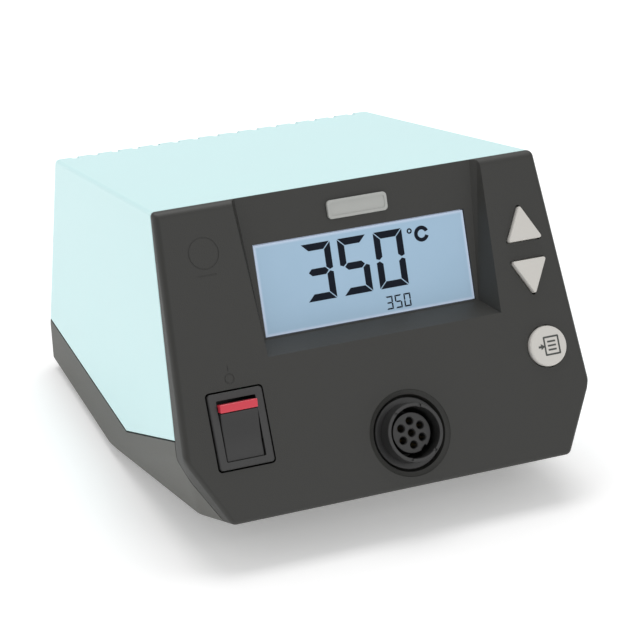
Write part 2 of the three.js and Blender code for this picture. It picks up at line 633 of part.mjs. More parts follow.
addMesh(switchGroup, 'switch_housing', toGeometry(switchHousing()), SWITCH_BLACK);
for (const [hand, side] of [['upper', 1], ['lower', -1]]) {
  const blade = box(BLADE.width, BLADE.thickness, BLADE.length);
  const terminal = addMesh(switchGroup, `switch_terminal_${hand}`, blade, BRASS);
  terminal.position.set(0, side * BLADE.v, SWITCH_BACK - SEAM_GAP - BLADE.length / 2);
}

// The paddle is drawn level and then tipped about its pivot to the on position
const PADDLE_TOP = -ROCKER_PIVOT_N + 1.3;
const PADDLE_HOLLOW = 0.7;
const MARKER_LENGTH = 2.4;
const MARKER_FOOT = PADDLE_TOP - 3.2;
const MARKER_BACK = ROCKER_HALF_LENGTH - MARKER_LENGTH;
const rocker = new THREE.Group();
rocker.position.set(0, 0, ROCKER_PIVOT_N);
rocker.rotation.x = THREE.MathUtils.degToRad(ROCKER_REST_TILT);
switchGroup.add(rocker);

function rockerPaddle() {
  const end = ROCKER_HALF_LENGTH;
  const half = [[end, PADDLE_TOP], [end - 0.4, -1.2], [2, -3.4]];
  const side = [[0, PADDLE_TOP - PADDLE_HOLLOW], ...half, ...mirrored(half)];
  const paddle = toSolid(sideExtrusion(side, 2 * ROCKER_HALF_WIDTH));
  const notch = [MARKER_BACK - GAP + DEEP / 2, MARKER_FOOT - GAP + DEEP / 2];
  const withPivots = paddle.add(toSolid(axle(TRUNNION_RADIUS, TRUNNION_SPAN)));
  return withPivots.subtract(toSolid(box(DEEP, DEEP, DEEP, 0, ...notch)));
}

addMesh(rocker, 'rocker_paddle', toGeometry(rockerPaddle()), SWITCH_BLACK);
const markerBase = [[MARKER_BACK, MARKER_FOOT], [ROCKER_HALF_LENGTH - 0.3, MARKER_FOOT]];
const markerSide = [...markerBase, [ROCKER_HALF_LENGTH, PADDLE_TOP], [MARKER_BACK, PADDLE_TOP - 0.15]];
addMesh(rocker, 'rocker_marker', sideExtrusion(markerSide, 2 * ROCKER_HALF_WIDTH), SIGNAL_RED);

// ---------------------------------------------------------------- tool socket
const SHELL_BACK = -17;
const SHELL_BARREL = SOCKET_RADIUS - 0.4;
const SHELL_FLANGE = 1.2;
const MOUTH_EDGE = 0.3;
const INSERT_BACK = -13;
const INSERT_STEP = -10;
const CONTACT_TOP = -6;
const KEYWAY = { width: 2, depth: 1.6, height: 4, turn: 0.55 };
const NUT = { radius: 12, thickness: 3 };
const socket = new THREE.Group();
socket.position.set(SOCKET_X, SOCKET_V, 0);
panel.add(socket);

function socketShell() {
  const flangeBack = -DISH_DEPTH + GAP;
  const flangeTop = flangeBack + SHELL_FLANGE;
  const flangeRim = DISH_FLOOR_RADIUS - GAP;
  const lip = SOCKET_PROUD - MOUTH_EDGE;
  const barrel = [[SOCKET_BORE, SHELL_BACK], [SHELL_BARREL, SHELL_BACK], [SHELL_BARREL, flangeBack]];
  const flange = [[flangeRim, flangeBack], [flangeRim, flangeTop], [SOCKET_RADIUS, flangeTop]];
  const rim = [[SOCKET_RADIUS, lip], [SOCKET_RADIUS - MOUTH_EDGE, SOCKET_PROUD]];
  const mouth = [[SOCKET_BORE + MOUTH_EDGE, SOCKET_PROUD], [SOCKET_BORE, lip], [SOCKET_BORE, SHELL_BACK]];
  return turned([...barrel, ...flange, ...rim, ...mouth], 36);
}

const contactSpots = [[0, 0]];
for (let index = 0; index < 6; index += 1) {
  const angle = Math.PI / 2 + (index * Math.PI) / 3;
  contactSpots.push([CONTACT_CIRCLE * Math.cos(angle), CONTACT_CIRCLE * Math.sin(angle)]);
}

function socketInsert() {
  const foot = SOCKET_BORE - GAP;
  const base = [[0, INSERT_BACK], [foot, INSERT_BACK], [foot, INSERT_STEP], [INSERT_RADIUS, INSERT_STEP]];
  let insert = toSolid(turned([...base, [INSERT_RADIUS, INSERT_FACE_N], [0, INSERT_FACE_N]]));
  for (const [x, y] of contactSpots) {
    insert = insert.subtract(toSolid(post(CONTACT_HOLE, DEEP, x, y, -DEEP / 2, 12)));
  }
  const { width, depth, height, turn } = KEYWAY;
  return insert.subtract(toSolid(box(width, depth, height, 0, -INSERT_RADIUS, INSERT_FACE_N).rotateZ(turn)));
}

addMesh(socket, 'socket_shell', socketShell(), SOCKET_BLACK);
addMesh(socket, 'socket_insert', toGeometry(socketInsert()), SOCKET_BLACK);
contactSpots.forEach(([x, y], index) => {
  const pillar = post(CONTACT_RADIUS, CONTACT_TOP - SHELL_BACK, 0, 0, SHELL_BACK, 8);
  const contact = addMesh(socket, `socket_contact_${index + 1}`, pillar, BRASS);
  contact.position.set(x, y, 0);
});
const nutShape = disc(NUT.radius, 6);
nutShape.holes.push(disc(SOCKET_RADIUS + GAP));
const nutBack = -DISH_DEPTH - TRAY_WALL - GAP - NUT.thickness;
addMesh(socket, 'socket_nut', plate(nutShape, NUT.thickness, nutBack), STEEL);

// ---------------------------------------------------------------- mains inlet
const INLET_FACE = 2.3;
const INLET_RIM = 2;
const INLET_DEPTH = 28;
const PLUG_ROOM = { width: 24.2, height: 16.6, depth: 16.5, z: -5.4, cut: 4.5 };
const DRAWER = { width: 22.6, height: 8.6, depth: 22, z: 9.6 };
const PIN = { width: 2, height: 4, length: 33, y: -19.5 };
const pinSpots = [['earth', 0, 1.9], ['line', -7, -2.6], ['neutral', 7, -2.6]];
const inlet = new THREE.Group();
inlet.position.set(INLET.x, 0, INLET_W);
back.add(inlet);

// A box as wide and as high as an opening, grown by skin, from the back plane at y inwards
function behind({ width, height, z = 0 }, y, depth, skin = 0) {
  return toSolid(box(width + 2 * skin, depth, height + 2 * skin, 0, y - depth / 2, z));
}

function plugRoom() {
  const [half, high] = [PLUG_ROOM.width / 2, PLUG_ROOM.height / 2];
  const side = [[half, -high], [half, high - PLUG_ROOM.cut], [half - PLUG_ROOM.cut, high]];
  const room = plate(outline([...side, ...mirrored(side)]), DEEP).rotateX(Math.PI / 2);
  return toSolid(room.translate(0, INLET_FACE - PLUG_ROOM.depth + DEEP, PLUG_ROOM.z));
}

function inletBody() {
  const { width, height } = INLET;
  const flange = behind({ width, height }, INLET_FACE, INLET_FACE - GAP, INLET_RIM);
  let body = behind({ width, height }, 1, INLET_DEPTH).add(flange).subtract(plugRoom());
  body = body.subtract(behind(DRAWER, INLET_FACE + 1, DRAWER.depth + 2, GAP));
  for (const [, x, z] of pinSpots) {
    const slot = box(PIN.width + 2 * GAP, 2 * DEEP, PIN.height + 2 * GAP, x, 0, PLUG_ROOM.z + z);
    body = body.subtract(toSolid(slot));
  }
  return body;
}

addMesh(inlet, 'inlet_body', toGeometry(inletBody()), SOCKET_BLACK);
for (const [name, x, z] of pinSpots) {
  const pin = addMesh(inlet, `inlet_pin_${name}`, box(PIN.width, PIN.length, PIN.height), BRASS);
  pin.position.set(x, PIN.y, PLUG_ROOM.z + z);
}

// The drawer is a tray behind a flat front; the fuse lies in it across the opening
const FUSE = { radius: 2.6, length: 20, y: -9 };
const POCKET_WIDTH = 9;
const TRAY_FLOOR = 1.6;

function fuseDrawer() {
  const pocket = box(FUSE.length + 1, POCKET_WIDTH, DRAWER.height, 0, FUSE.y, DRAWER.z + TRAY_FLOOR);
  return behind(DRAWER, INLET_FACE, DRAWER.depth).subtract(toSolid(pocket));
}

addMesh(inlet, 'fuse_drawer', toGeometry(fuseDrawer()), SOCKET_BLACK);
const fuse = addMesh(inlet, 'fuse', axle(FUSE.radius, FUSE.length), GLASS);
fuse.position.set(0, FUSE.y, DRAWER.z - DRAWER.height / 2 + TRAY_FLOOR + FUSE.radius + GAP);

const jackBarrel = [[JACK.bore, -JACK.depth], [JACK.radius, -JACK.depth], [JACK.radius, GAP]];
const jackCollar = [[JACK.collar, GAP], [JACK.collar, JACK.proud], [JACK.bore, JACK.proud]];
const jackGeometry = outward(turned([...jackBarrel, ...jackCollar, jackBarrel[0]]));
const jack = addMesh(back, 'bonding_jack', jackGeometry, BRASS);
jack.position.set(JACK.x, 0, JACK.w);

// ---------------------------------------------------------------- transformer
const transformer = new THREE.Group();
transformer.position.set(TRANSFORMER.x, TRANSFORMER.y, TRANSFORMER.foot);
station.add(transformer);
const WINDOW_GAP = (TRANSFORMER.length - TRANSFORMER.leg) / 4;

function ringShape(width, depth, holeWidth, holeDepth, corner) {
  const shape = roundedOutline(rectangle(width, depth), corner);
  shape.holes.push(outline(rectangle(holeWidth, holeDepth)));
  return shape;
}

function transformerCore() {
  const { length, height, stack, leg } = TRANSFORMER;
  let core = toSolid(box(stack, length, height, 0, 0, height / 2));
  for (const side of [-1, 1]) {
    const y = side * (leg / 2 + WINDOW_GAP / 2);
    core = core.subtract(toSolid(box(DEEP + stack, WINDOW_GAP, height - 2 * WINDOW_GAP, 0, y, height / 2)));
  }
  return core;
}

const legWidth = TRANSFORMER.stack + 2 * GAP;
const legDepth = TRANSFORMER.leg + 2 * GAP;
const coilDepth = TRANSFORMER.leg + 2 * WINDOW_GAP - 2 * GAP;
const coilBase = WINDOW_GAP + GAP;
const coilHeight = TRANSFORMER.height - 2 * coilBase;
const FLANGE = 1.2;
const BRACKET = { sheet: 1.5, width: 26, toe: 11, hole: 1.8 };

function bobbin() {
  const flangeShape = ringShape(legWidth + 23, coilDepth, legWidth, legDepth, 1);
  const tube = ringShape(legWidth + 2 * FLANGE, legDepth + 2 * FLANGE, legWidth, legDepth, 0.4);
  const low = toSolid(plate(flangeShape, FLANGE, coilBase));
  const high = toSolid(plate(flangeShape, FLANGE, coilBase + coilHeight - FLANGE));
  return toSolid(plate(tube, coilHeight, coilBase)).add(low).add(high);
}

// A winding between two distances from the leg
function winding(inner, outer) {
  const shape = ringShape(legWidth + outer, legDepth + outer, legWidth + inner, legDepth + inner, 3);
  return plate(shape, coilHeight - 2 * FLANGE - 2 * GAP, coilBase + FLANGE + GAP);
}

// A strap over the core whose ends turn out into two feet
function bracket() {
  const reach = TRANSFORMER.length / 2 + GAP;
  const top = TRANSFORMER.height + GAP;
  const { sheet, width, toe, hole } = BRACKET;
  const foot = [[reach + toe, GAP], [reach + toe, GAP + sheet], [reach + sheet, GAP + sheet]];
  const outside = [...foot, [reach + sheet, top + sheet]];
  const inside = [[reach, top], [reach, GAP]];
  const strap = [...outside, ...mirrored(outside), ...mirrored(inside), ...inside];
  let band = toSolid(sideExtrusion(strap, width));
  for (const side of [-1, 1]) {
    band = band.subtract(toSolid(post(hole, 9, 0, side * TRANSFORMER.screw, -3, 16)));
  }
  return toGeometry(band);
}

addMesh(transformer, 'transformer_core', toGeometry(transformerCore()), STEEL);
addMesh(transformer, 'transformer_bobbin', toGeometry(bobbin()), NYLON);
addMesh(transformer, 'primary_winding', winding(3, 10), COPPER);
addMesh(transformer, 'secondary_winding', winding(10.8, 19.4), COPPER);
addMesh(transformer, 'transformer_bracket', bracket(), STEEL);

// ---------------------------------------------------------------- power board
const board = new THREE.Group();
board.position.set(POWER_BOARD.x, POWER_BOARD.y, POWER_BOARD.z);
station.add(board);
const SEAT = BOARD_THICKNESS + GAP;
const HEAT_SINK = { back: 18, web: 15.5, tip: 6, front: -12, rear: 24, height: 28, fin: 1.5, pitch: 6 };
const TRIAC = { width: 10, thickness: 4.4, height: 18, x: 10, y: -15 };
const TERMINALS = { width: 20, depth: 10, height: 11, pitch: 5, count: 4, hole: 1.7 };

const boardPlate = box(POWER_BOARD.width, POWER_BOARD.length, BOARD_THICKNESS, 0, 0, BOARD_THICKNESS / 2);
addMesh(board, 'power_board', boardPlate, BOARD_GREEN);

function heatSink() {
  const { back: rim, web, tip, front, rear, height, fin, pitch } = HEAT_SINK;
  const shape = [[rim, front], [rim, rear], [web, rear]];
  for (let y = rear - fin; y > front; y -= pitch) {
    shape.push([web, y], [tip, y], [tip, y - fin], [web, y - fin]);
  }
  shape.push([web, front]);
  return plate(outline(shape), height, SEAT);
}

addMesh(board, 'heat_sink', heatSink(), ALUMINIUM);
const triacBody = box(TRIAC.width, TRIAC.thickness, TRIAC.height, TRIAC.x, TRIAC.y, SEAT + TRIAC.height / 2);
addMesh(board, 'triac', triacBody, SWITCH_BLACK);
const canProfile = [[0, 0], [8, 0], [8, 27], [7.2, 28], [0, 28]];
const capacitor = addMesh(board, 'capacitor', turned(canProfile), CAPACITOR_BLUE);
capacitor.position.set(-9, -20, SEAT);

// Each way has a hole for the wire at the back and one for the screw on top
function terminalBlock() {
  const { width, depth, height, pitch, count, hole } = TERMINALS;
  let block = toSolid(box(width, depth, height, 0, 0, height / 2));
  for (let index = 0; index < count; index += 1) {
    const x = (index - (count - 1) / 2) * pitch;
    const wireWay = post(hole, depth - 1, 0, 0, 0, 16).rotateX(Math.PI / 2).translate(x, depth / 2 + 1, 4);
    block = block.subtract(toSolid(wireWay)).subtract(toSolid(post(hole, 3, x, 0, height - 2.5, 16)));
  }
  return block;
}

const terminals = addMesh(board, 'terminal_block', toGeometry(terminalBlock()), BOARD_GREEN);
terminals.position.set(-8, 18, SEAT);

// A flat lead from the back of the control board down to the front edge of the power board
const RIBBON = { thickness: 0.9, width: 14, x: 33, steps: 10 };
const ribbonRoute = [[-38.6, 37], [-27, 31], [-28, 24], [-28, POWER_BOARD.z + SEAT]];

function ribbonCable() {
  const route = new THREE.CubicBezierCurve(...ribbonRoute.map(([y, z]) => new THREE.Vector2(y, z)));
  const half = RIBBON.thickness / 2;
  const [near, far] = [[], []];
  for (let index = 0; index <= RIBBON.steps; index += 1) {
    const point = route.getPoint(index / RIBBON.steps);
    const tangent = route.getTangent(index / RIBBON.steps);
    near.push([point.x - tangent.y * half, point.y + tangent.x * half]);
    far.unshift([point.x + tangent.y * half, point.y - tangent.x * half]);
  }
  return sideExtrusion([...near, ...far], RIBBON.width, RIBBON.x);
}

addMesh(station, 'ribbon_cable', ribbonCable(), BUTTON_GREY);

const BRACKET_SCREW = { head: 3.2, shank: 1.3, length: 6 };
transformerFeet.forEach(([x, y], index) => {
  const bolt = addMesh(station, `transformer_screw_${index + 1}`, screw(BRACKET_SCREW), STEEL);
  bolt.position.set(x, y, TRANSFORMER.foot + BRACKET.sheet + GAP);
});

// The origin is under the middle of the whole length, inlet and jack included
const extent = new THREE.Box3().setFromObject(station, true);
station.position.y = -(extent.min.y + extent.max.y) / 2;

export default station;
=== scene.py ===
import json
import math

import bmesh
import bpy
from mathutils import Matrix, Vector


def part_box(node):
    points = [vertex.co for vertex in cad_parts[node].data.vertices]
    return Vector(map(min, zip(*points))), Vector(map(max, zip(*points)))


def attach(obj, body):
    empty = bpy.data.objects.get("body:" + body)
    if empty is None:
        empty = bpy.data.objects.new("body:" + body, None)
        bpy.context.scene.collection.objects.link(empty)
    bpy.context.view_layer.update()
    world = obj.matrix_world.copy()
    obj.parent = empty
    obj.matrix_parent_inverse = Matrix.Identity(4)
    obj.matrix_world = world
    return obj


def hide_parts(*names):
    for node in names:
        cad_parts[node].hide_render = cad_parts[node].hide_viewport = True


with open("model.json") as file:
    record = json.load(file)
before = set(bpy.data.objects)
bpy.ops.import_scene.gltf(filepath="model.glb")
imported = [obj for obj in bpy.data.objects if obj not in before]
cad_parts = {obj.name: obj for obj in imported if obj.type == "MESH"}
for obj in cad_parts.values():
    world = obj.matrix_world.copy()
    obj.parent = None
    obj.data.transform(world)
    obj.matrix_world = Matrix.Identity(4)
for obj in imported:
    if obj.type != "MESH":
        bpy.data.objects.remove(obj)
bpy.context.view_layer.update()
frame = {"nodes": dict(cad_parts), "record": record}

scene = bpy.context.scene
MM = 0.001

# ---------------------------------------------------------------- places, in millimetres
WALL = 2.5
SEAM_GAP = 0.4
FRONT_ROUND = 2.0        # rounding of the edges round the control panel
EDGE_ROUND = 1.3         # rounding of the housing's other edges
# The housing's side profile as [y, z] before the origin was centred; it starts at the panel's foot
PROFILE = [(-75, 14.4), (-34.6, 93.3), (67.9, 71.7), (75.1, 13.7), (71.4, 2.5), (7.4, 2.5), (-56.7, 9.4)]
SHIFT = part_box("front_bezel")[0].y / MM - PROFILE[0][0]
PANEL_FOOT, PANEL_HEAD, TOP_REAR, BACK_KNEE, BACK_FOOT, UNDERSIDE_FRONT, CHIN = [
    Vector((0, y + SHIFT, z)) for y, z in PROFILE]
SEAM = [Vector((0, y + SHIFT, z)) for y, z in [(-31.7, 92.7), (-58.6, 29.7), (-70.8, 12.7)]]
BORDER_FRONT, BORDER_BEND = [Vector((0, y + SHIFT, z)) for y, z in [(-56.6, 34), (-10.2, 15.2)]]
PLAN_TAPER, DRAFT = 0.06755, 0.03465
HALF_WIDTH = 60.1 + PLAN_TAPER * SHIFT
CHIN_HALF, FOOT_HALF, WIDEST_V = 56, 52.7, 20.2
PANEL_RUN = PANEL_HEAD - PANEL_FOOT
UP_PANEL = PANEL_RUN.normalized()
PANEL_LENGTH = PANEL_RUN.length

# Frames: on the panel Y runs up it and Z points out; on the back Y points out and Z runs up
PANEL = Matrix.Translation(PANEL_FOOT) @ Matrix.Rotation(math.atan2(PANEL_RUN.z, PANEL_RUN.y), 4, "X")
FLOOR_V, FLOOR_DEPTH, HEAD_DEPTH = 49, 7, 2.5
FLOOR_TILT = math.atan2(FLOOR_DEPTH - HEAD_DEPTH, PANEL_LENGTH - FLOOR_V)
DISPLAY = PANEL @ Matrix.Translation((0, 49.3, -FLOOR_DEPTH)) @ Matrix.Rotation(FLOOR_TILT, 4, "X")
BACK_LEAN = math.atan2(BACK_KNEE.y - TOP_REAR.y, TOP_REAR.z - BACK_KNEE.z)
BACK = Matrix.Translation(BACK_KNEE) @ Matrix.Rotation(BACK_LEAN, 4, "X")

WINDOW = (-30.7, 35.4, 0, 26.5)                      # left, right, foot, head on the display frame
WINDOW_X = (WINDOW[0] + WINDOW[1]) / 2
BUTTON_X, UP_V, DOWN_V, MENU_X, MENU_V = 50.6, 63.5, 57.9, 51.5, 32.2
HALF_BASE, TRIANGLE_HEIGHT, MENU_RADIUS = 5.6, 10.4, 5.9
SWITCH = Vector((-45.6, 26.1, 0))
SWITCH_SIZE = (16.4, 21.4)
SOCKET = Vector((4.3, 15.5, 0))
DISH_RADIUS, DISH_FLOOR, DISH_DEPTH, SOCKET_RADIUS, SOCKET_BORE = 12.3, 10.6, 2.8, 8.55, 7.35


# ---------------------------------------------------------------- camera, light and floor
def look(position, aim, lens):
    camera = bpy.data.objects.new("camera", bpy.data.cameras.new("camera"))
    scene.collection.objects.link(camera)
    camera.data.lens = lens
    camera.data.clip_start, camera.data.clip_end = 0.05, 20
    camera.location = position
    camera.rotation_euler = (Vector(aim) - Vector(position)).to_track_quat("-Z", "Y").to_euler()
    scene.camera = camera


def softbox(name, position, aim, size, watts):
    light = bpy.data.objects.new(name, bpy.data.lights.new(name, "AREA"))
    scene.collection.objects.link(light)
    light.data.size, light.data.energy = size, watts
    light.location = position
    light.rotation_euler = (Vector(aim) - Vector(position)).to_track_quat("-Z", "Y").to_euler()


look((-0.3111, -0.7138, 0.3929), (-0.0153, -0.0497, 0.0591), 159.8)
softbox("key", (0.1, 0.5, 1.4), (0, 0, 0.05), 1.1, 11.5)
softbox("side", (-1.4, 0.3, 0.5), (0, 0, 0.05), 0.9, 2.0)
softbox("front", (0.5, -1.4, 0.9), (0, 0, 0.05), 0.8, 3.5)
scene.view_settings.view_transform = "Standard"


# ---------------------------------------------------------------- materials
class Signal:
    """One output of a material's nodes. Arithmetic on it adds Math nodes, and make() adds any other node."""

    def __init__(self, tree, socket):
        self.tree = tree
        self.socket = socket

    def make(self, kind, settings=None, values=None, output=0):
        node = self.tree.nodes.new(kind)
        for name, value in (settings or {}).items():
            if name == "stops":
                for stop, (place, level) in zip(ramp_stops(node, len(value)), value):
                    color = [level] * 3 if isinstance(level, float) else level
                    stop.position = place
                    stop.color = (*color, 1)
            else:
                setattr(node, name, value)
        for name, value in (values or {}).items():
            if isinstance(value, Signal):
                self.tree.links.new(value.socket, node.inputs[name])
            else:
                node.inputs[name].default_value = value
        return Signal(self.tree, node.outputs[output])

    def maths(self, operation, *operands):
        return self.make("ShaderNodeMath", {"operation": operation}, dict(enumerate(operands)))

    def __add__(self, other):
        return self.maths("ADD", self, other)

    def __radd__(self, other):
        return self.maths("ADD", other, self)

    def __sub__(self, other):
        return self.maths("SUBTRACT", self, other)

    def __rsub__(self, other):
        return self.maths("SUBTRACT", other, self)

    def __mul__(self, other):
        return self.maths("MULTIPLY", self, other)

    def __rmul__(self, other):
        return self.maths("MULTIPLY", other, self)


def ramp_stops(node, count):
    elements = node.color_ramp.elements
    while len(elements) < count:
        elements.new(0.5)
    return elements


def material(name, **constants):
    """A new material: its shader, and its Object coordinates as a Signal."""
    made = bpy.data.materials.new(name)
    made.use_nodes = True
    shader = made.node_tree.nodes["Principled BSDF"]
    for socket, value in constants.items():
        shader.inputs[socket.replace("_", " ")].default_value = value
    start = Signal(made.node_tree, None)
    return made, shader, start.make("ShaderNodeTexCoord", output=3)


def feed(shader, socket, signal):
    signal.tree.links.new(signal.socket, shader.inputs[socket])


def noise(coords, scale, detail=3.0, roughness=0.5):
    values = {"Vector": coords, "Scale": scale, "Detail": detail, "Roughness": roughness}
    return coords.make("ShaderNodeTexNoise", None, values)


def blend(signal, factor, low, high):
    return signal.make("ShaderNodeMix", {"data_type": "RGBA"}, {0: factor, 6: low, 7: high}, 2)


def shade(color, share):
    return (*[min(1, part * share) for part in color], 1)


def bump(shader, height, distance, strength=1.0):
    values = {"Height": height, "Distance": distance, "Strength": strength}
    feed(shader, "Normal", height.make("ShaderNodeBump", None, values))


def moulded(name, color, rough, grain=2600, depth=0.00004, tone=0.05, **constants):
    """Spark-textured moulded plastic: fine grain, slow changes of tone, and a slightly uneven gloss."""
    made, shader, coords = material(name, **constants)
    cloud = noise(coords, 35, 3)
    fine = noise(coords, grain, 2)
    mottle = cloud * 0.6 + fine * 0.4
    feed(shader, "Base Color", blend(coords, mottle, shade(color, 1 - tone), shade(color, 1 + tone)))
    feed(shader, "Roughness", fine * 0.12 + cloud * 0.08 + (rough - 0.1))
    bump(shader, fine, depth)
    return made


def metal(name, color, rough, stretch=(40, 40, 900), depth=0.00001):
    """Plated or drawn metal with fine drawing lines and faint dulled patches."""
    made, shader, coords = material(name, Metallic=1.0)
    lines = noise(coords.make("ShaderNodeMapping", None, {"Vector": coords, "Scale": stretch}), 20, 3)
    dull = noise(coords, 120, 4)
    feed(shader, "Base Color", blend(coords, dull, shade(color, 0.85), shade(color, 1.1)))
    feed(shader, "Roughness", lines * 0.15 + dull * 0.15 + (rough - 0.15))
    bump(shader, lines, depth)
    return made


def circuit_board(name, mask):
    """Solder mask over faint tracks."""
    made, shader, coords = material(name, Coat_Weight=0.4, Coat_Roughness=0.15)
    square = {"distance": "MANHATTAN", "feature": "F2"}
    cells = coords.make("ShaderNodeTexVoronoi", square, {"Vector": coords, "Scale": 260.0})
    tracks = cells.make("ShaderNodeValToRGB", {"stops": [(0.45, 0.0), (0.5, 1.0)]}, {"Fac": cells})
    feed(shader, "Base Color", blend(coords, tracks, shade(mask, 0.8), shade(mask, 1.35)))
    feed(shader, "Roughness", tracks * 0.1 + 0.35)
    bump(shader, tracks, 0.00003)
    return made


def wound_wire(name, color):
    """Layers of enamelled wire."""
    made, shader, coords = material(name, Metallic=0.75, Coat_Weight=0.5, Coat_Roughness=0.2)
    windings = {"Vector": coords, "Scale": 330.0, "Distortion": 0.4}
    turns = coords.make("ShaderNodeTexWave", {"bands_direction": "Z"}, windings)
    feed(shader, "Base Color", blend(coords, turns, shade(color, 0.45), shade(color, 1.15)))
    feed(shader, "Roughness", 0.5 - turns * 0.2)
    bump(shader, turns, 0.0002)
    return made


def fuse_glass(name, color):
    """Clear glass tube between two end caps, seen as a pale tinted body."""
    made, shader, coords = material(name, Coat_Weight=1.0, Coat_Roughness=0.05)
    streak = noise(coords, 300, 2)
    feed(shader, "Base Color", blend(coords, streak, shade(color, 0.8), shade(color, 1.3)))
    feed(shader, "Roughness", streak * 0.1 + 0.1)
    return made


AQUA = moulded("aqua_shell", (0.65, 0.915, 0.925), 0.42, depth=0.00002, tone=0.012, Coat_Weight=0.12,
               Coat_Roughness=0.3)
ANTHRACITE = moulded("anthracite_texture", (0.031, 0.031, 0.028), 0.52, tone=0.10, Specular_IOR_Level=0.5)
BASE_GREY = moulded("warm_grey_texture", (0.108, 0.108, 0.098), 0.6, tone=0.08)
BUTTON_GREY = moulded("button_grey", (0.68, 0.66, 0.62), 0.5, depth=0.00001, tone=0.03)
SWITCH_BLACK = moulded("switch_black", (0.030, 0.030, 0.030), 0.42, depth=0.00001, tone=0.08)
SOCKET_BLACK = moulded("socket_black", (0.028, 0.028, 0.028), 0.42, depth=0.00001, tone=0.10)
MARKER_RED = moulded("marker_red", (0.72, 0.045, 0.075), 0.32, depth=0.00001, tone=0.05, Coat_Weight=0.3)
WHITE_NYLON = moulded("natural_nylon", (0.75, 0.72, 0.63), 0.5, depth=0.00002, tone=0.05)
RUBBER = moulded("black_rubber", (0.022, 0.022, 0.022), 0.82, grain=900, depth=0.00008, tone=0.2)
SLEEVE_BLUE = moulded("shrunk_sleeve", (0.02, 0.04, 0.12), 0.3, depth=0.00001, tone=0.1, Coat_Weight=0.5)
RIBBON_GREY = moulded("ribbon_grey", (0.45, 0.45, 0.44), 0.55, depth=0.00002, tone=0.08)
BADGE_GREY = moulded("badge_grey", (0.46, 0.47, 0.45), 0.38, depth=0.00001, tone=0.04)
ICON_DARK = moulded("printed_mark", (0.06, 0.065, 0.06), 0.55, depth=0.00001, tone=0.1)
STEEL = metal("plated_steel", (0.62, 0.62, 0.63), 0.32)
BRASS = metal("brass", (0.80, 0.58, 0.24), 0.3)
ALUMINIUM = metal("drawn_aluminium", (0.75, 0.76, 0.78), 0.4)
COPPER = wound_wire("enamelled_wire", (0.72, 0.30, 0.12))
BOARD_GREEN = circuit_board("solder_mask", (0.03, 0.16, 0.07))
FUSE_GLASS = fuse_glass("fuse_glass", (0.55, 0.60, 0.60))
SLOT_LOOKS = {
    "cover_aqua": AQUA, "panel_anthracite": ANTHRACITE, "base_grey": BASE_GREY, "button_grey": BUTTON_GREY,
    "switch_black": SWITCH_BLACK, "marker_red": MARKER_RED, "socket_black": SOCKET_BLACK,
    "display_glass": FUSE_GLASS, "light_guide_white": WHITE_NYLON, "moulding_white": WHITE_NYLON,
    "board_green": BOARD_GREEN, "steel": STEEL, "brass": BRASS, "copper": COPPER, "aluminium": ALUMINIUM,
    "capacitor_blue": SLEEVE_BLUE, "ribbon_grey": RIBBON_GREY, "rubber_black": RUBBER}


def display_field():
    """The display field: blue-grey, with a paler band of painted light along its edges, and a glow of painted
    light that brightens it in the shaded recess.
    """
    made, shader, coords = material("display_painted_glow", Roughness=0.3, Coat_Weight=0.2, Coat_Roughness=0.12)
    turn = DISPLAY.to_euler().x
    centre = DISPLAY @ Vector((WINDOW_X, (WINDOW[2] + WINDOW[3]) / 2, 0)) * MM
    settings = {"vector_type": "TEXTURE"}
    values = {"Vector": coords, "Location": centre, "Rotation": (turn, 0, 0)}
    flat = coords.make("ShaderNodeMapping", settings, values)
    parts = coords.make("ShaderNodeSeparateXYZ", None, {0: flat})
    up = Signal(parts.tree, parts.socket.node.outputs[1])
    half_width, half_height = (WINDOW[1] - WINDOW[0]) / 2 * MM, (WINDOW[3] - WINDOW[2]) / 2 * MM
    from_side = half_width - parts.maths("ABSOLUTE", parts)
    from_end = half_height - up.maths("ABSOLUTE", up)
    nearest = from_side.maths("MINIMUM", from_side, from_end)
    # This mask marks a band of painted light along the window's edges; below it is blended into the field's
    # colour.
    edge = nearest.make("ShaderNodeMapRange", None, {0: nearest, 1: 0.0003, 2: 0.0012, 3: 1.0, 4: 0.0})
    haze = noise(coords, 60, 2)
    color = blend(coords, haze, (0.25, 0.38, 0.50, 1), (0.28, 0.405, 0.53, 1))
    color = blend(coords, edge * 0.55, color, (0.62, 0.66, 0.80, 1))
    feed(shader, "Base Color", color)
    # The emission is painted light: a glow that brightens the field where the recess puts it in shade.
    feed(shader, "Emission Color", color)
    shader.inputs["Emission Strength"].default_value = 0.4
    return made


def display_ink():
    """The dark segments of the display."""
    made, shader, coords = material("display_ink", Specular_IOR_Level=0.08)
    cloud = noise(coords, 400, 2)
    feed(shader, "Base Color", blend(coords, cloud, (0.004, 0.007, 0.014, 1), (0.010, 0.014, 0.026, 1)))
    feed(shader, "Roughness", cloud * 0.1 + 0.3)
    return made


DISPLAY_FIELD, DISPLAY_INK = display_field(), display_ink()


# ---------------------------------------------------------------- shapes
def moved(bm, place):
    bmesh.ops.transform(bm, matrix=place, verts=bm.verts)
    return bm


def shifted(bm, x=0, y=0, z=0):
    return moved(bm, Matrix.Translation((x, y, z)))


def closed(bm):
    """Doubles merged and faces turned outwards."""
    bmesh.ops.remove_doubles(bm, verts=bm.verts, dist=1e-4)
    bmesh.ops.recalc_face_normals(bm, faces=bm.faces)
    return bm


def rounded(bm, edges, width, segments=3):
    """Rounds the given edges."""
    bmesh.ops.bevel(bm, geom=edges, offset=width, offset_type="OFFSET", segments=segments, profile=0.5,
                    affect="EDGES", material=-1, clamp_overlap=True)
    return bm


def rim(bm, height):
    """The edges that lie at one height."""
    return [edge for edge in bm.edges if all(abs(vert.co.z - height) < 1e-4 for vert in edge.verts)]


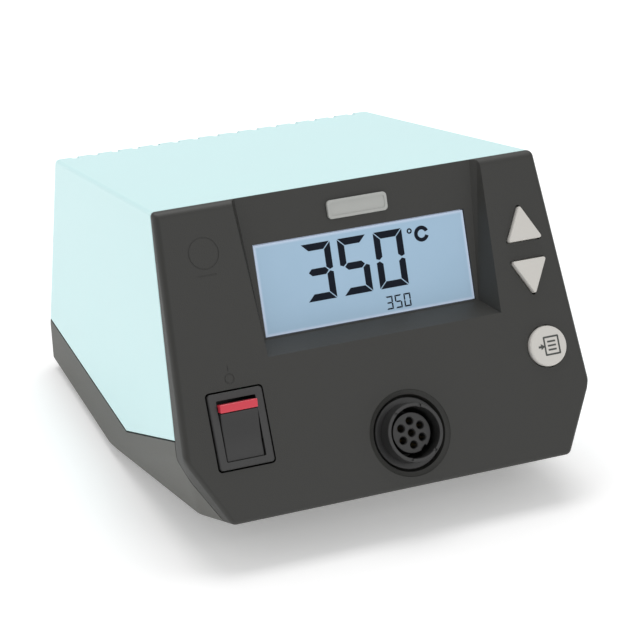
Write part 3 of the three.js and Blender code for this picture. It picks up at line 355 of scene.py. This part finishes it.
def prism(points, low, high, corner=0, top=0, foot=0):
    """An outline in XY raised from low to high, with rounded corners and a rounded rim."""
    bm = bmesh.new()
    face = bm.faces.new([bm.verts.new((x, y, low)) for x, y in points])
    if corner:
        bmesh.ops.bevel(bm, geom=bm.verts[:], offset=corner, offset_type="OFFSET", segments=6, profile=0.5,
                        affect="VERTICES", material=-1)
        face = bm.faces[:][0]
    return raised(bm, face, low, high, top, foot)


def raised(bm, face, low, high, top=0, foot=0):
    extruded = bmesh.ops.extrude_face_region(bm, geom=[face])["geom"]
    lifted = [item for item in extruded if isinstance(item, bmesh.types.BMVert)]
    bmesh.ops.translate(bm, vec=(0, 0, high - low), verts=lifted)
    closed(bm)
    if top:
        rounded(bm, rim(bm, high), top, 4)
    if foot:
        rounded(bm, rim(bm, low), foot, 4)
    return bm


def block(width, height, low, high, corner=0, top=0, foot=0, x=0, y=0):
    right, head = width / 2, height / 2
    corners = [(x - right, y - head), (x + right, y - head), (x + right, y + head), (x - right, y + head)]
    return prism(corners, low, high, corner, top, foot)


def disc(radius, low, high, top=0, foot=0, sides=64):
    bm = bmesh.new()
    foot_place = Matrix.Translation((0, 0, low))
    bmesh.ops.create_circle(bm, cap_ends=True, segments=sides, radius=radius, matrix=foot_place)
    return raised(bm, bm.faces[:][0], low, high, top, foot)


def turned(points, steps=96):
    """A closed profile of (radius, z) points spun round Z."""
    bm = bmesh.new()
    verts = [bm.verts.new((radius, 0, z)) for radius, z in points]
    edges = [bm.edges.new(pair) for pair in zip(verts, verts[1:])]
    if points[0][0] > 0:
        edges.append(bm.edges.new((verts[-1], verts[0])))
    bmesh.ops.spin(bm, geom=verts + edges, cent=(0, 0, 0), axis=(0, 0, 1), angle=2 * math.pi, steps=steps,
                   use_merge=True, use_duplicate=False)
    return closed(bm)


def hull(points):
    bm = bmesh.new()
    for point in points:
        bm.verts.new(point)
    bmesh.ops.convex_hull(bm, input=bm.verts)
    return closed(bm)


def temporary(bm, name="shape"):
    mesh = bpy.data.meshes.new(name)
    bm.to_mesh(mesh)
    bm.free()
    shape = bpy.data.objects.new(name, mesh)
    scene.collection.objects.link(shape)
    return shape


def evaluated(shape, *others):
    """The bmesh of an object with its modifiers done; the objects are removed."""
    graph = bpy.context.evaluated_depsgraph_get()
    bm = bmesh.new()
    bm.from_mesh(shape.evaluated_get(graph).to_mesh())
    for used in (shape, *others):
        mesh = used.data
        bpy.data.objects.remove(used)
        bpy.data.meshes.remove(mesh)
    return bm


def carved(body, cutters, operation="DIFFERENCE"):
    """The body after each cutter is taken away from it, joined to it or kept in common with it."""
    shape = temporary(body, "body")
    tools = [temporary(cutter, "cutter") for cutter in cutters]
    for tool in tools:
        cut = shape.modifiers.new("cut", "BOOLEAN")
        cut.operation, cut.solver, cut.object = operation, "EXACT", tool
    bm = evaluated(shape, *tools)
    bmesh.ops.remove_doubles(bm, verts=bm.verts, dist=1e-3)
    bmesh.ops.dissolve_degenerate(bm, edges=bm.edges, dist=1e-3)
    bmesh.ops.dissolve_limit(bm, angle_limit=math.radians(0.3), verts=bm.verts, edges=bm.edges)
    return bm


def joined(*parts):
    """Several closed bodies as one mesh."""
    whole = bmesh.new()
    for part in parts:
        mesh = bpy.data.meshes.new("part")
        part.to_mesh(mesh)
        part.free()
        whole.from_mesh(mesh)
        bpy.data.meshes.remove(mesh)
    return whole


def sharp_edges(bm, place, keep):
    """Convex sharp edges whose ends, seen in the place's own frame, all satisfy keep."""
    inverse = place.inverted()
    found = []
    for edge in bm.edges:
        crisp = len(edge.link_faces) == 2 and edge.calc_face_angle_signed(0) > math.radians(25)
        if crisp and all(keep(inverse @ vert.co) for vert in edge.verts):
            found.append(edge)
    return found


def piece(bm, name, body, slot, look_of=None, replaces=(), smooth=32):
    """The finished piece, in metres, smooth shaded up to an angle, riding on its body."""
    bm.normal_update()
    bmesh.ops.scale(bm, vec=(MM, MM, MM), verts=bm.verts)
    made = temporary(bm, name)
    made.data.shade_smooth()
    made.data.set_sharp_from_angle(angle=math.radians(smooth))
    weighted = made.modifiers.new("weighted_normals", "WEIGHTED_NORMAL")
    weighted.keep_sharp = True
    made.data.materials.clear()
    made.data.materials.append(look_of or SLOT_LOOKS[slot])
    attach(made, body)
    if replaces:
        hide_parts(*replaces)
    return made


# ---------------------------------------------------------------- housing
def half_width(point):
    return HALF_WIDTH - PLAN_TAPER * point.y - DRAFT * point.z


def plane(a, b, c):
    """A plane through three points as (point, outward normal)."""
    normal = (b - a).cross(c - a).normalized()
    inside = Vector((0, 0, 45))
    return (a, normal if (inside - a).dot(normal) < 0 else -normal)


def across(a, b):
    return plane(a, b, a + Vector((1, 0, 0)))


def housing_planes():
    outline = [PANEL_FOOT, PANEL_HEAD, TOP_REAR, BACK_KNEE, BACK_FOOT, UNDERSIDE_FRONT, CHIN]
    planes = [across(a, b) for a, b in zip(outline, outline[1:] + outline[:1])]
    for side in (-1, 1):
        def at(point, half=None):
            return Vector((side * (half or half_width(point)), point.y, point.z))
        widest = at(PANEL_FOOT + UP_PANEL * WIDEST_V)
        chin, foot, corner = at(CHIN, CHIN_HALF), at(PANEL_FOOT, FOOT_HALF), at(UNDERSIDE_FRONT)
        planes.append(plane(at(SEAM[0]), at(SEAM[1]), at(TOP_REAR)))
        planes.append(plane(widest, corner, chin))
        planes.append(plane(widest, chin, foot))
    return planes


def trimmed(bm, planes, inset=0):
    """What is left inside the planes, each moved in by inset, with every cut closed."""
    for point, normal in planes:
        geometry = bm.verts[:] + bm.edges[:] + bm.faces[:]
        bmesh.ops.bisect_plane(bm, geom=geometry, plane_co=point - normal * inset, plane_no=normal,
                               clear_outer=True)
        bmesh.ops.holes_fill(bm, edges=[edge for edge in bm.edges if edge.is_boundary])
    return closed(bm)


def convex(planes, inset=0):
    bm = bmesh.new()
    bmesh.ops.create_cube(bm, size=500)
    return trimmed(bm, planes, inset)


def envelope():
    """The housing's outer body with its edges rounded, those round the panel most."""
    bm = convex(HOUSING)
    bm.faces.ensure_lookup_table()
    weights = bm.edges.layers.float.new("bevel_weight_edge")
    out = HOUSING[0][1]
    for edge in bm.edges:
        on_panel = any(face.normal.dot(out) > 0.999 for face in edge.link_faces)
        low = max(vert.co.z for vert in edge.verts) < PANEL_FOOT.z + UP_PANEL.z * WIDEST_V + 1
        edge[weights] = (1.0 if on_panel and not low else EDGE_ROUND / FRONT_ROUND)
    shape = temporary(bm)
    bevel = shape.modifiers.new("round", "BEVEL")
    bevel.width = FRONT_ROUND
    bevel.segments = 6
    bevel.limit_method = "WEIGHT"
    bevel.profile = 0.5
    return closed(evaluated(shape))


def parted(points, gap, facing):
    """Planes through a side-profile line moved back by gap, with everything on the facing side outside."""
    planes = []
    for a, b in zip(points, points[1:]):
        run = b - a
        normal = Vector((0, run.z, -run.y)).normalized()
        if normal.dot(facing) < 0:
            normal = -normal
        planes.append((a - facing * gap, normal))
    return planes


def eased(bm, planes, width=0.3):
    """Rounds the rims of the flat cuts that lie on the planes."""
    edges = set()
    for point, normal in planes:
        for face in bm.faces:
            off_plane = abs((face.calc_center_median() - point).dot(normal))
            if off_plane < 1e-3 and face.normal.dot(normal) > 0.999:
                edges.update(face.edges)
    return rounded(bm, list(edges), width, 2)


HOUSING = housing_planes()
ENVELOPE = envelope()
AHEAD, BEHIND = Vector((0, -1, 0)), Vector((0, 1, 0))
BELOW, ABOVE = Vector((0, 0, -1)), Vector((0, 0, 1))
BORDER = [BORDER_FRONT, BORDER_BEND, BORDER_BEND + Vector((0, 120, 0))]


def recess():
    """The cutter of the display recess: its lip lies on the panel and its floor slopes up to the head."""
    lip = [(-33.7, 44.1), (39.2, 44.1), (41.7, PANEL_LENGTH + 6), (-36.2, PANEL_LENGTH + 6)]
    head_depth = HEAD_DEPTH - 6 * math.tan(FLOOR_TILT)
    floor = [(-31.3, FLOOR_V, FLOOR_DEPTH), (36.2, FLOOR_V, FLOOR_DEPTH),
             (39.7, PANEL_LENGTH + 6, head_depth), (-34.5, PANEL_LENGTH + 6, head_depth)]
    points = [(x, v, 0) for x, v in lip] + [(x, v, 20) for x, v in lip]
    points += [(x, v, -depth) for x, v, depth in floor]
    return moved(hull(points), PANEL)


def triangle(grow=0):
    slant = math.hypot(HALF_BASE, TRIANGLE_HEIGHT)
    base = HALF_BASE + grow * (slant + HALF_BASE) / TRIANGLE_HEIGHT
    return [(-base, -grow), (base, -grow), (0, TRIANGLE_HEIGHT + grow * slant / HALF_BASE)]


def button_places():
    """Each button's name and its place on the panel."""
    turn = Matrix.Rotation(math.pi, 4, "Z")
    spots = {
        "up": Matrix.Translation((BUTTON_X, UP_V, 0)),
        "down": Matrix.Translation((BUTTON_X, DOWN_V, 0)) @ turn,
        "menu": Matrix.Translation((MENU_X, MENU_V, 0))}
    return {name: PANEL @ spot for name, spot in spots.items()}


def button_outline(name, grow, low, high, top=0):
    if name == "menu":
        return disc(MENU_RADIUS + grow, low, high, top)
    return prism(triangle(grow), low, high, 1.1 + grow, top)


def ring(outer, inner, low, high, steps=64):
    return turned([(inner, low), (outer, low), (outer, high), (inner, high)], steps)


def on_switch(x=0, v=0, n=0):
    return PANEL @ Matrix.Translation(SWITCH + Vector((x, v, n)))


def on_socket(n=0):
    return PANEL @ Matrix.Translation(SOCKET + Vector((0, 0, n)))


MARK_DEPTH = -0.13


def faint_marks():
    """Shallow grooves pressed into the panel: a round emblem with a line under it, and a switch symbol."""
    emblem = joined(ring(4.6, 4.2, MARK_DEPTH, 2), shifted(block(5.4, 0.45, MARK_DEPTH, 2), 0, -6.2))
    symbol = joined(ring(1.5, 1.15, MARK_DEPTH, 2), shifted(block(0.35, 1.6, MARK_DEPTH, 2), 0, 2.9))
    return [moved(emblem, PANEL @ Matrix.Translation((-46.9, 75.6, 0))),
            moved(symbol, PANEL @ Matrix.Translation((-46.2, 40.2, 0)))]


def bezel():
    seam = parted(SEAM, SEAM_GAP / 2, BEHIND)
    bm = eased(trimmed(ENVELOPE.copy(), seam), seam)
    tray = moved(prism([(-36.5, 42), (42, 42), (44, 96), (-38.5, 96)], -9.5, 5), PANEL)
    dish_wall = moved(disc(DISH_RADIUS + 2, -DISH_DEPTH - 2, 2), PANEL @ Matrix.Translation(SOCKET))
    bm = carved(bm, [carved(convex(HOUSING, WALL), [tray.copy(), dish_wall])])
    panel_point, panel_normal = HOUSING[0]
    inside_cover = trimmed(convex([(panel_point, panel_normal)], 1), HOUSING[1:], WALL + 0.3)
    bm = carved(bm, [carved(tray, [inside_cover], "INTERSECT")], "UNION")
    size = (SWITCH_SIZE[0] + 0.9, SWITCH_SIZE[1] + 0.9)
    cutters = [recess()]
    left, right, foot, head = WINDOW
    cutters.append(moved(prism([(left, foot), (right, foot), (right, head), (left, head)], -12, 6), DISPLAY))
    cutters.append(moved(block(*size, -12, 12, 1.2), on_switch()))
    for name, place in button_places().items():
        cutters.append(moved(button_outline(name, 0.35, -12, 12), place))
    lip, rise = DISH_RADIUS, -DISH_DEPTH
    dish = [(0, 8), (lip + 8, 8), (lip + 0.35, 0.15), (lip - 0.1, -0.25), (lip - 1.25, -0.6),
            (DISH_FLOOR, rise + 0.25), (DISH_FLOOR - 0.3, rise), (0, rise)]
    cutters.append(moved(turned(dish), on_socket()))
    cutters.append(moved(disc(SOCKET_RADIUS + 0.3, -15, 5), on_socket()))
    return carved(bm, cutters + faint_marks())


# The rear frame: as seen from behind, X to the right, Y up the sloping back and Z out of it
REAR = BACK @ Matrix.Rotation(math.pi, 4, "Z") @ Matrix.Rotation(math.pi / 2, 4, "X")
COVER_SCREWS, PANEL_SCREWS, SCREW_W = 48.6, 39.5, 8
INLET_X, INLET_W, JACK_X, JACK_W = -19, 24.3, 38, 30
SLOTS, SLOT_PITCH = 15, 6.7
BACK_WINDOW = (44.5, 46)


def on_back(x, w, out=0):
    return REAR @ Matrix.Translation((x, w, out))


def slot_cutter(width, height, low, high, place):
    return moved(block(width, height, low, high, min(width, height) * 0.48), place)


def cover():
    seam = parted(SEAM[:2], SEAM_GAP / 2, AHEAD)
    border = parted(BORDER, SEAM_GAP / 2, BELOW)
    bm = eased(trimmed(ENVELOPE.copy(), seam + border), seam + border)
    half, top = BACK_WINDOW
    low = -20
    cutters = [convex(HOUSING, WALL), moved(block(2 * half, top - low, -9, 9, 1, y=(top + low) / 2), REAR)]
    for index in range(SLOTS):
        x = (index - (SLOTS - 1) / 2) * SLOT_PITCH
        place = Matrix.Translation((x, TOP_REAR.y + 1.6, TOP_REAR.z - 14))
        cutters.append(moved(block(2.4, 10, 0, 26, 0.9), place))
    for side in (-1, 1):
        cutters.append(moved(disc(1.7, -9, 9, sides=24), on_back(side * COVER_SCREWS, SCREW_W)))
    return carved(bm, cutters)


# Each foot's name, its x and y, and how high the leg above it is
FEET = [
    ("front_left", -36, -42, 7), ("front_right", 36, -42, 7),
    ("rear_left", -40, 58, 4.5), ("rear_right", 40, 58, 4.5)]
FLOOR_SLOTS, FLOOR_SLOT_PITCH, FLOOR_SLOT_Y = 9, 5, 12
FLOOR_SLOT_COLUMNS = (-20, 30)


def base():
    ahead = convex(parted(SEAM, -SEAM_GAP / 2, BEHIND))
    above = convex(parted(BORDER, -SEAM_GAP / 2, BELOW))
    bm = carved(ENVELOPE.copy(), [ahead, above])
    rounded(bm, sharp_edges(bm, Matrix(), lambda co: True), 0.3, 2)
    bm = carved(bm, [convex(HOUSING, WALL)])
    legs = [moved(disc(7, BACK_FOOT.z, BACK_FOOT.z + leg, foot=0.4), Matrix.Translation((x, y + SHIFT, 0)))
            for _, x, y, leg in FEET]
    bosses = []
    for side in (-1, 1):
        bosses.append(moved(block(15.4, 22, -11.8, -2.8, 1, top=0.4), on_back(side * 43.2, 1)))
    bm = carved(bm, legs + [carved(joined(*bosses), [convex(HOUSING, WALL - 0.5)], "INTERSECT")], "UNION")
    cutters = [moved(disc(2.3, 0, 5, sides=32), Matrix.Translation((x, y + SHIFT, 0))) for _, x, y, _ in FEET]
    for index in range(FLOOR_SLOTS):
        y = FLOOR_SLOT_Y + index * FLOOR_SLOT_PITCH + SHIFT
        for x in FLOOR_SLOT_COLUMNS:
            cutters.append(slot_cutter(26, 2.6, -4, 8, Matrix.Translation((x, y, 0))))
    for x in (COVER_SCREWS, PANEL_SCREWS):
        for side in (-1, 1):
            cutters.append(moved(disc(1.65, -15, 3, sides=24), on_back(side * x, SCREW_W)))
    return carved(bm, cutters)


def rear_sheet():
    half, top = BACK_WINDOW
    foot = BORDER_BEND.z - BACK_KNEE.z + SEAM_GAP
    height = top - SEAM_GAP - foot
    bm = moved(block(2 * (half - SEAM_GAP), height, -WALL, 0, 0.8, top=0.35), on_back(0, foot + height / 2))
    cutters = [moved(block(28, 31.8, -9, 9, 0.6), on_back(INLET_X, INLET_W)),
               moved(disc(4.1, -9, 9), on_back(JACK_X, JACK_W))]
    for index in range(7):
        cutters.append(slot_cutter(34, 2, -9, 9, on_back(14, 14 + index * 4.4)))
    for side in (-1, 1):
        cutters.append(moved(disc(1.7, -9, 9, sides=24), on_back(side * PANEL_SCREWS, SCREW_W)))
    return carved(bm, cutters)


def cross_screw():
    """A pan head screw along Z with a cross recess, its head standing on z = 0.3."""
    head, shank = 2.7, 1.35
    profile = [
        (0, -11), (shank - 0.3, -11), (shank, -10.5), (shank, 0.3), (head, 0.3), (head, 0.9),
        (head - 0.25, 1.5), (head * 0.72, 1.95), (head * 0.4, 2.1), (0, 2.1)]
    recess_arms = [block(0.7, 3.2, 0.9, 4), block(3.2, 0.7, 0.9, 4)]
    return carved(turned(profile, 48), recess_arms)


def housing_pieces():
    piece(bezel(), "bezel_shell", "housing", "panel_anthracite", replaces=["front_bezel"])
    piece(cover(), "cover_shell", "housing", "cover_aqua", replaces=["top_cover"])
    piece(base(), "base_tray", "housing", "base_grey", replaces=["base_shell"])
    piece(rear_sheet(), "rear_sheet", "housing", "base_grey", replaces=["rear_panel"])
    for side, hand in ((1, "left"), (-1, "right")):
        for node, x in (("cover_screw", COVER_SCREWS), ("rear_panel_screw", PANEL_SCREWS)):
            screw = moved(cross_screw(), on_back(side * x, SCREW_W))
            piece(screw, f"{node}_{hand}_head", "housing", "steel", replaces=[f"{node}_{hand}"])
    for name, x, y, _ in FEET:
        profile = [
            (0, 0.5), (3.2, 0.5), (3.6, 0), (5.3, 0), (5.8, 0.25), (6, 0.7),
            (6, 2.2), (2, 2.2), (2, 4.2), (1.7, 4.4), (0, 4.4)]
        foot = moved(turned(profile, 64), Matrix.Translation((x, y + SHIFT, 0)))
        piece(foot, f"rubber_foot_{name}", "housing", "rubber_black", replaces=[f"foot_{name}"])


# ---------------------------------------------------------------- panel fittings
def button_cap(name):
    low, flange = -2.8, 1.2
    cap = button_outline(name, 0, low - 0.5, 1.4, 0.7 if name == "menu" else 0.5)
    skirt = button_outline(name, flange, low - 1, low)
    stem = shifted(disc(2, -14.7, low - 0.6), 0, 0 if name == "menu" else 3.4)
    return carved(cap, [skirt, stem], "UNION")


def list_mark():
    """A plain list: a page with three lines, and a small arrow that points to it."""
    low, high = 1.36, 1.43
    page = carved(block(5, 5.6, low, high, 0.3, x=1), [block(4, 4.6, low - 1, high + 1, 0.15, x=1)])
    lines = [block(2.6, 0.5, low, high, 0.1, x=1, y=v) for v in (-1.2, 0, 1.2)]
    outline = [(-3.3, -0.3), (-2.5, -0.3), (-2.5, -0.9), (-1.2, 0), (-2.5, 0.9), (-2.5, 0.3), (-3.3, 0.3)]
    arrow = prism(outline, low, high)
    return joined(page, *lines, arrow)


def rocker_place():
    return on_switch(n=-2.6) @ Matrix.Rotation(math.radians(9), 4, "X")


SIDEWAYS = Matrix(((0, 0, 1, 0), (1, 0, 0, 0), (0, 1, 0, 0), (0, 0, 0, 1)))
PADDLE_HALF, PADDLE_END, PADDLE_LIFT, MARKER_LENGTH = 5.6, 8.1, 3.9, 2.4


def paddle():
    end, lift = PADDLE_END, PADDLE_LIFT
    side = [(-end, lift), (-end + 0.4, -1.2), (-2, -3.4), (2, -3.4), (end - 0.4, -1.2), (end, lift),
            (end * 0.5, lift - 0.55), (0, lift - 0.75), (-end * 0.5, lift - 0.55)]
    bm = moved(prism(side, -PADDLE_HALF, PADDLE_HALF), SIDEWAYS)
    rounded(bm, sharp_edges(bm, Matrix(), lambda co: co.z > 0), 0.35, 3)
    pins = moved(disc(1.1, -PADDLE_HALF - 0.6, PADDLE_HALF + 0.6), SIDEWAYS)
    bm = carved(bm, [pins], "UNION")
    return carved(bm, [block(40, 10, lift - 3.5, lift + 6.5, y=end - MARKER_LENGTH - 0.25 + 5)])


def marker():
    end, lift = PADDLE_END, PADDLE_LIFT
    start = end - MARKER_LENGTH
    side = [(start, lift - 0.15), (start, lift - 3.2), (end - 0.3, lift - 3.2), (end, lift)]
    bm = moved(prism(side, -PADDLE_HALF, PADDLE_HALF), SIDEWAYS)
    return rounded(bm, sharp_edges(bm, Matrix(), lambda co: True), 0.25, 3)


def switch_frame():
    width, height = SWITCH_SIZE
    face = block(width, height, -2.6, 0.5, 1, top=0.4)
    body = shifted(block(13.4, 19, -18, -1, 0.5), 0, 0)
    well = [block(2 * (PADDLE_HALF + 0.3), 2 * (PADDLE_END + 0.5), -10, 12, 0.4)]
    on_axis = Matrix.Translation((0, 0, -2.6)) @ SIDEWAYS
    well.append(moved(disc(1.45, -PADDLE_HALF - 0.9, PADDLE_HALF + 0.9), on_axis))
    return carved(carved(face, [body], "UNION"), well)


def socket_shell():
    floor, flange = -DISH_DEPTH + 0.3, -DISH_DEPTH + 1.5
    outer, bore = SOCKET_RADIUS, SOCKET_BORE
    profile = [
        (bore, -17), (outer - 0.4, -17), (outer - 0.4, floor), (DISH_FLOOR - 0.3, floor),
        (DISH_FLOOR - 0.3, flange - 0.2), (DISH_FLOOR - 0.5, flange), (outer, flange), (outer, 3.6),
        (outer - 0.12, 3.87), (outer - 0.4, 4), (bore + 0.35, 4), (bore + 0.1, 3.9), (bore, 3.6)]
    bm = turned(profile, 128)
    nicks = []
    for angle in (70, 130, 250, 310):
        turn = Matrix.Rotation(math.radians(angle), 4, "Z")
        nicks.append(moved(block(1.5, 0.9, 3.55, 5, 0.2, x=bore + 0.1), turn))
    return carved(bm, nicks)


CONTACT_CIRCLE = 3.45


def contact_spots():
    """The middle contact hole and the six round it."""
    spots = [(0, 0)]
    for index in range(6):
        angle = math.radians(90 + 60 * index)
        spots.append((CONTACT_CIRCLE * math.cos(angle), CONTACT_CIRCLE * math.sin(angle)))
    return spots


def socket_insert():
    foot, hole = SOCKET_BORE - 0.3, 1.05
    profile = [(0, -13), (foot, -13), (foot, -10), (5.85, -10), (5.85, 0.75), (5.75, 0.93), (5.55, 1), (0, 1)]
    flared = [(0, -20), (hole, -20), (hole, 0.75), (hole + 0.3, 1.05), (hole + 0.3, 2), (0, 2)]
    holes = joined(*[shifted(turned(flared, 32), x, y) for x, y in contact_spots()])
    keyway = moved(block(2, 1.6, -1, 4, 0.2, y=-5.85), Matrix.Rotation(0.55, 4, "Z"))
    return carved(turned(profile, 96), [holes, keyway])


def panel_fittings():
    for name, place in button_places().items():
        piece(moved(button_cap(name), place), f"{name}_button_cap", f"{name}_button", "button_grey",
              replaces=[f"button_{name}"])
    on_menu = button_places()["menu"]
    piece(moved(list_mark(), on_menu), "menu_button_mark", "menu_button", "button_grey", ICON_DARK)
    piece(moved(switch_frame(), on_switch()), "switch_frame", "housing", "switch_black",
          replaces=["switch_housing"])
    piece(moved(paddle(), rocker_place()), "switch_paddle", "rocker", "switch_black",
          replaces=["rocker_paddle"])
    piece(moved(marker(), rocker_place()), "switch_marker", "rocker", "marker_red",
          replaces=["rocker_marker"])
    piece(moved(socket_shell(), on_socket()), "socket_ring", "housing", "socket_black",
          replaces=["socket_shell"])
    piece(moved(socket_insert(), on_socket()), "socket_core", "housing", "socket_black",
          replaces=["socket_insert"])


# ---------------------------------------------------------------- display
SEGMENTS = {"3": "abgcd", "5": "afgcd", "0": "abcdef"}


def segment(letter, width, height, stroke, gap):
    """One bar of a seven-segment digit whose lower left corner is at the origin."""
    middle, half, tip = height / 2, stroke / 2, gap / 2
    if letter == "a":
        return [(tip, height), (width - tip, height), (width - stroke - tip, height - stroke),
                (stroke + tip, height - stroke)]
    if letter == "d":
        return [(tip, 0), (stroke + tip, stroke), (width - stroke - tip, stroke), (width - tip, 0)]
    if letter == "g":
        far = width - stroke - gap
        return [(half + gap, middle), (stroke + gap, middle - half), (far, middle - half),
                (width - half - gap, middle), (far, middle + half), (stroke + gap, middle + half)]
    right = [(width, tip), (width, middle - half * 0.6), (width - half, middle - tip),
             (width - stroke, middle - half), (width - stroke, stroke + tip)]
    if letter in "bf":
        right = [(x, height - y) for x, y in right]
    if letter in "ef":
        right = [(width - x, y) for x, y in right]
    return right


INK_LOW, INK_HIGH = -0.34, -0.25


def digits(text, left, foot, width, height, stroke, gap, pitch):
    bars = []
    for index, digit in enumerate(text):
        for letter in SEGMENTS[digit]:
            bar = prism(segment(letter, width, height, stroke, gap), INK_LOW, INK_HIGH)
            bars.append(shifted(bar, left + index * pitch, foot))
    return bars


def unit_mark():
    degree = shifted(ring(0.8, 0.38, INK_LOW, INK_HIGH, 40), 17.6, 22.85)
    letter = ring(2.3, 1.2, INK_LOW, INK_HIGH, 64)
    letter = carved(letter, [prism([(0.2, 0), (3.4, -1.35), (3.4, 1.35)], -2, 2)])
    return [degree, shifted(letter, 21.3, 21.5)]


def display_pieces():
    left, right, foot, head = WINDOW
    size = (right - left, head - foot)
    glass = shifted(block(size[0] - 0.5, size[1] - 0.5, -3, -0.3, 0.15, top=0.12), WINDOW_X, size[1] / 2)
    step = shifted(block(size[0] + 3.4, size[1] + 3.4, -3.5, -2.4, 0.4), WINDOW_X, size[1] / 2)
    lens = moved(carved(glass, [step], "UNION"), DISPLAY)
    piece(lens, "display_window", "housing", "display_glass", DISPLAY_FIELD, replaces=["display_lens"])
    ink = digits("350", -16.3, 7.75, 9.0, 16.35, 2.0, 0.4, 11.25)
    ink += digits("350", 7.35, 1.6, 2.15, 3.85, 0.42, 0.1, 2.82)
    piece(moved(joined(*ink, *unit_mark()), DISPLAY), "display_digits", "housing", "display_glass", DISPLAY_INK)
    badge = carved(block(18.6, 5.4, 0.1, 1, 1.2, top=0.3), [block(16.9, 3.7, 0.8, 3, 0.8)])
    place = DISPLAY @ Matrix.Translation((WINDOW_X, 32.7, 0))
    piece(moved(badge, place), "badge", "housing", "panel_anthracite", BADGE_GREY, replaces=["badge_plate"])


# ---------------------------------------------------------------- mains inlet
PINS = [("earth", 0, 1.9), ("line", 7, -2.6), ("neutral", -7, -2.6)]
DRAWER_W, PLUG_W, FACE = 9.6, -5.4, 2.3


def inlet_shell():
    flange = block(31.4, 35.2, 0.3, FACE, 2, top=0.5)
    body = carved(flange, [block(27.4, 31.2, -27, 1, 0.4)], "UNION")
    half, high, cut = 12.1, 8.3, 4.5
    mouth = [(-half, -high), (half, -high), (half, high - cut), (half - cut, high), (cut - half, high),
             (-half, high - cut)]
    cutters = [shifted(prism(mouth, -14.2, 9, 0.5), 0, PLUG_W), block(23.2, 9.2, -20.7, 9, 0.4, y=DRAWER_W)]
    cutters += [block(2.6, 4.6, -40, 9, x=x, y=PLUG_W + w) for _, x, w in PINS]
    return carved(body, cutters)


def fuse_drawer():
    bm = block(22.6, 8.6, -19.7, FACE, 0.4, top=0.35, y=DRAWER_W)
    grip = moved(disc(5, -0.9, 5), Matrix.Translation((0, DRAWER_W + 4.9, FACE - 1.2)))
    ribs = [block(0.9, 4.4, FACE - 0.45, FACE + 2, 0.2, x=x, y=DRAWER_W - 0.8)
            for x in (-8.5, -6.5, 6.5, 8.5)]
    pocket = block(21, 8.6, -13.5, -4.5, 0.3, y=DRAWER_W + 1.6)
    return carved(bm, [pocket, grip, *ribs])


def fuse_parts():
    across_drawer = Matrix.Translation((0, DRAWER_W - 4.3 + 4.5, -9)) @ Matrix.Rotation(math.pi / 2, 4, "Y")
    tube = moved(disc(2.35, -9.5, 9.5, sides=48), across_drawer)
    caps = [moved(disc(2.6, low, low + 5, top=0.3, foot=0.3, sides=48), across_drawer) for low in (-10, 5)]
    return tube, joined(*caps)


def inlet_pieces():
    place = on_back(INLET_X, INLET_W)
    piece(moved(inlet_shell(), place), "inlet_shell", "housing", "socket_black", replaces=["inlet_body"])
    for name, x, w in PINS:
        pin = shifted(block(2, 4, -36, -3, 0.3, top=0.6), x, PLUG_W + w)
        piece(moved(pin, place), f"inlet_blade_{name}", "housing", "brass", replaces=[f"inlet_pin_{name}"])
    piece(moved(fuse_drawer(), place), "fuse_tray", "fuse_holder", "socket_black", replaces=["fuse_drawer"])
    tube, caps = fuse_parts()
    piece(moved(tube, place), "fuse_tube", "fuse_holder", "display_glass", replaces=["fuse"])
    piece(moved(caps, place), "fuse_caps", "fuse_holder", "steel")
    jack = [(2, -12), (3.8, -12), (3.8, 0.3), (5.6, 0.3), (5.6, 1.6), (5.2, 2), (2.5, 2), (2, 1.6)]
    piece(moved(turned(jack), on_back(JACK_X, JACK_W)), "bonding_socket", "housing", "brass",
          replaces=["bonding_jack"])


housing_pieces()
panel_fittings()
display_pieces()
inlet_pieces()
for entry in frame["record"]["subparts"]:
    node = frame["nodes"][entry["node"]]
    node.data.materials.clear()
    node.data.materials.append(SLOT_LOOKS[entry["material_slot"]])


def surroundings():
    floor = temporary(moved(disc(3000, -2, 0, sides=96), Matrix.Scale(MM, 4)), "floor")
    made, shader, coords = material("pale_floor", Roughness=0.9, Emission_Color=(1, 1, 1, 1),
                                    Emission_Strength=0.25)
    tone = blend(coords, noise(coords, 4, 2), (0.92, 0.92, 0.92, 1), (0.95, 0.95, 0.95, 1))
    feed(shader, "Base Color", tone)
    floor.data.materials.append(made)
    world = bpy.data.worlds.new("studio")
    world.use_nodes = True
    world.node_tree.nodes["Background"].inputs["Color"].default_value = (1, 1, 1, 1)
    world.node_tree.nodes["Background"].inputs["Strength"].default_value = 0.5
    scene.world = world


surroundings()
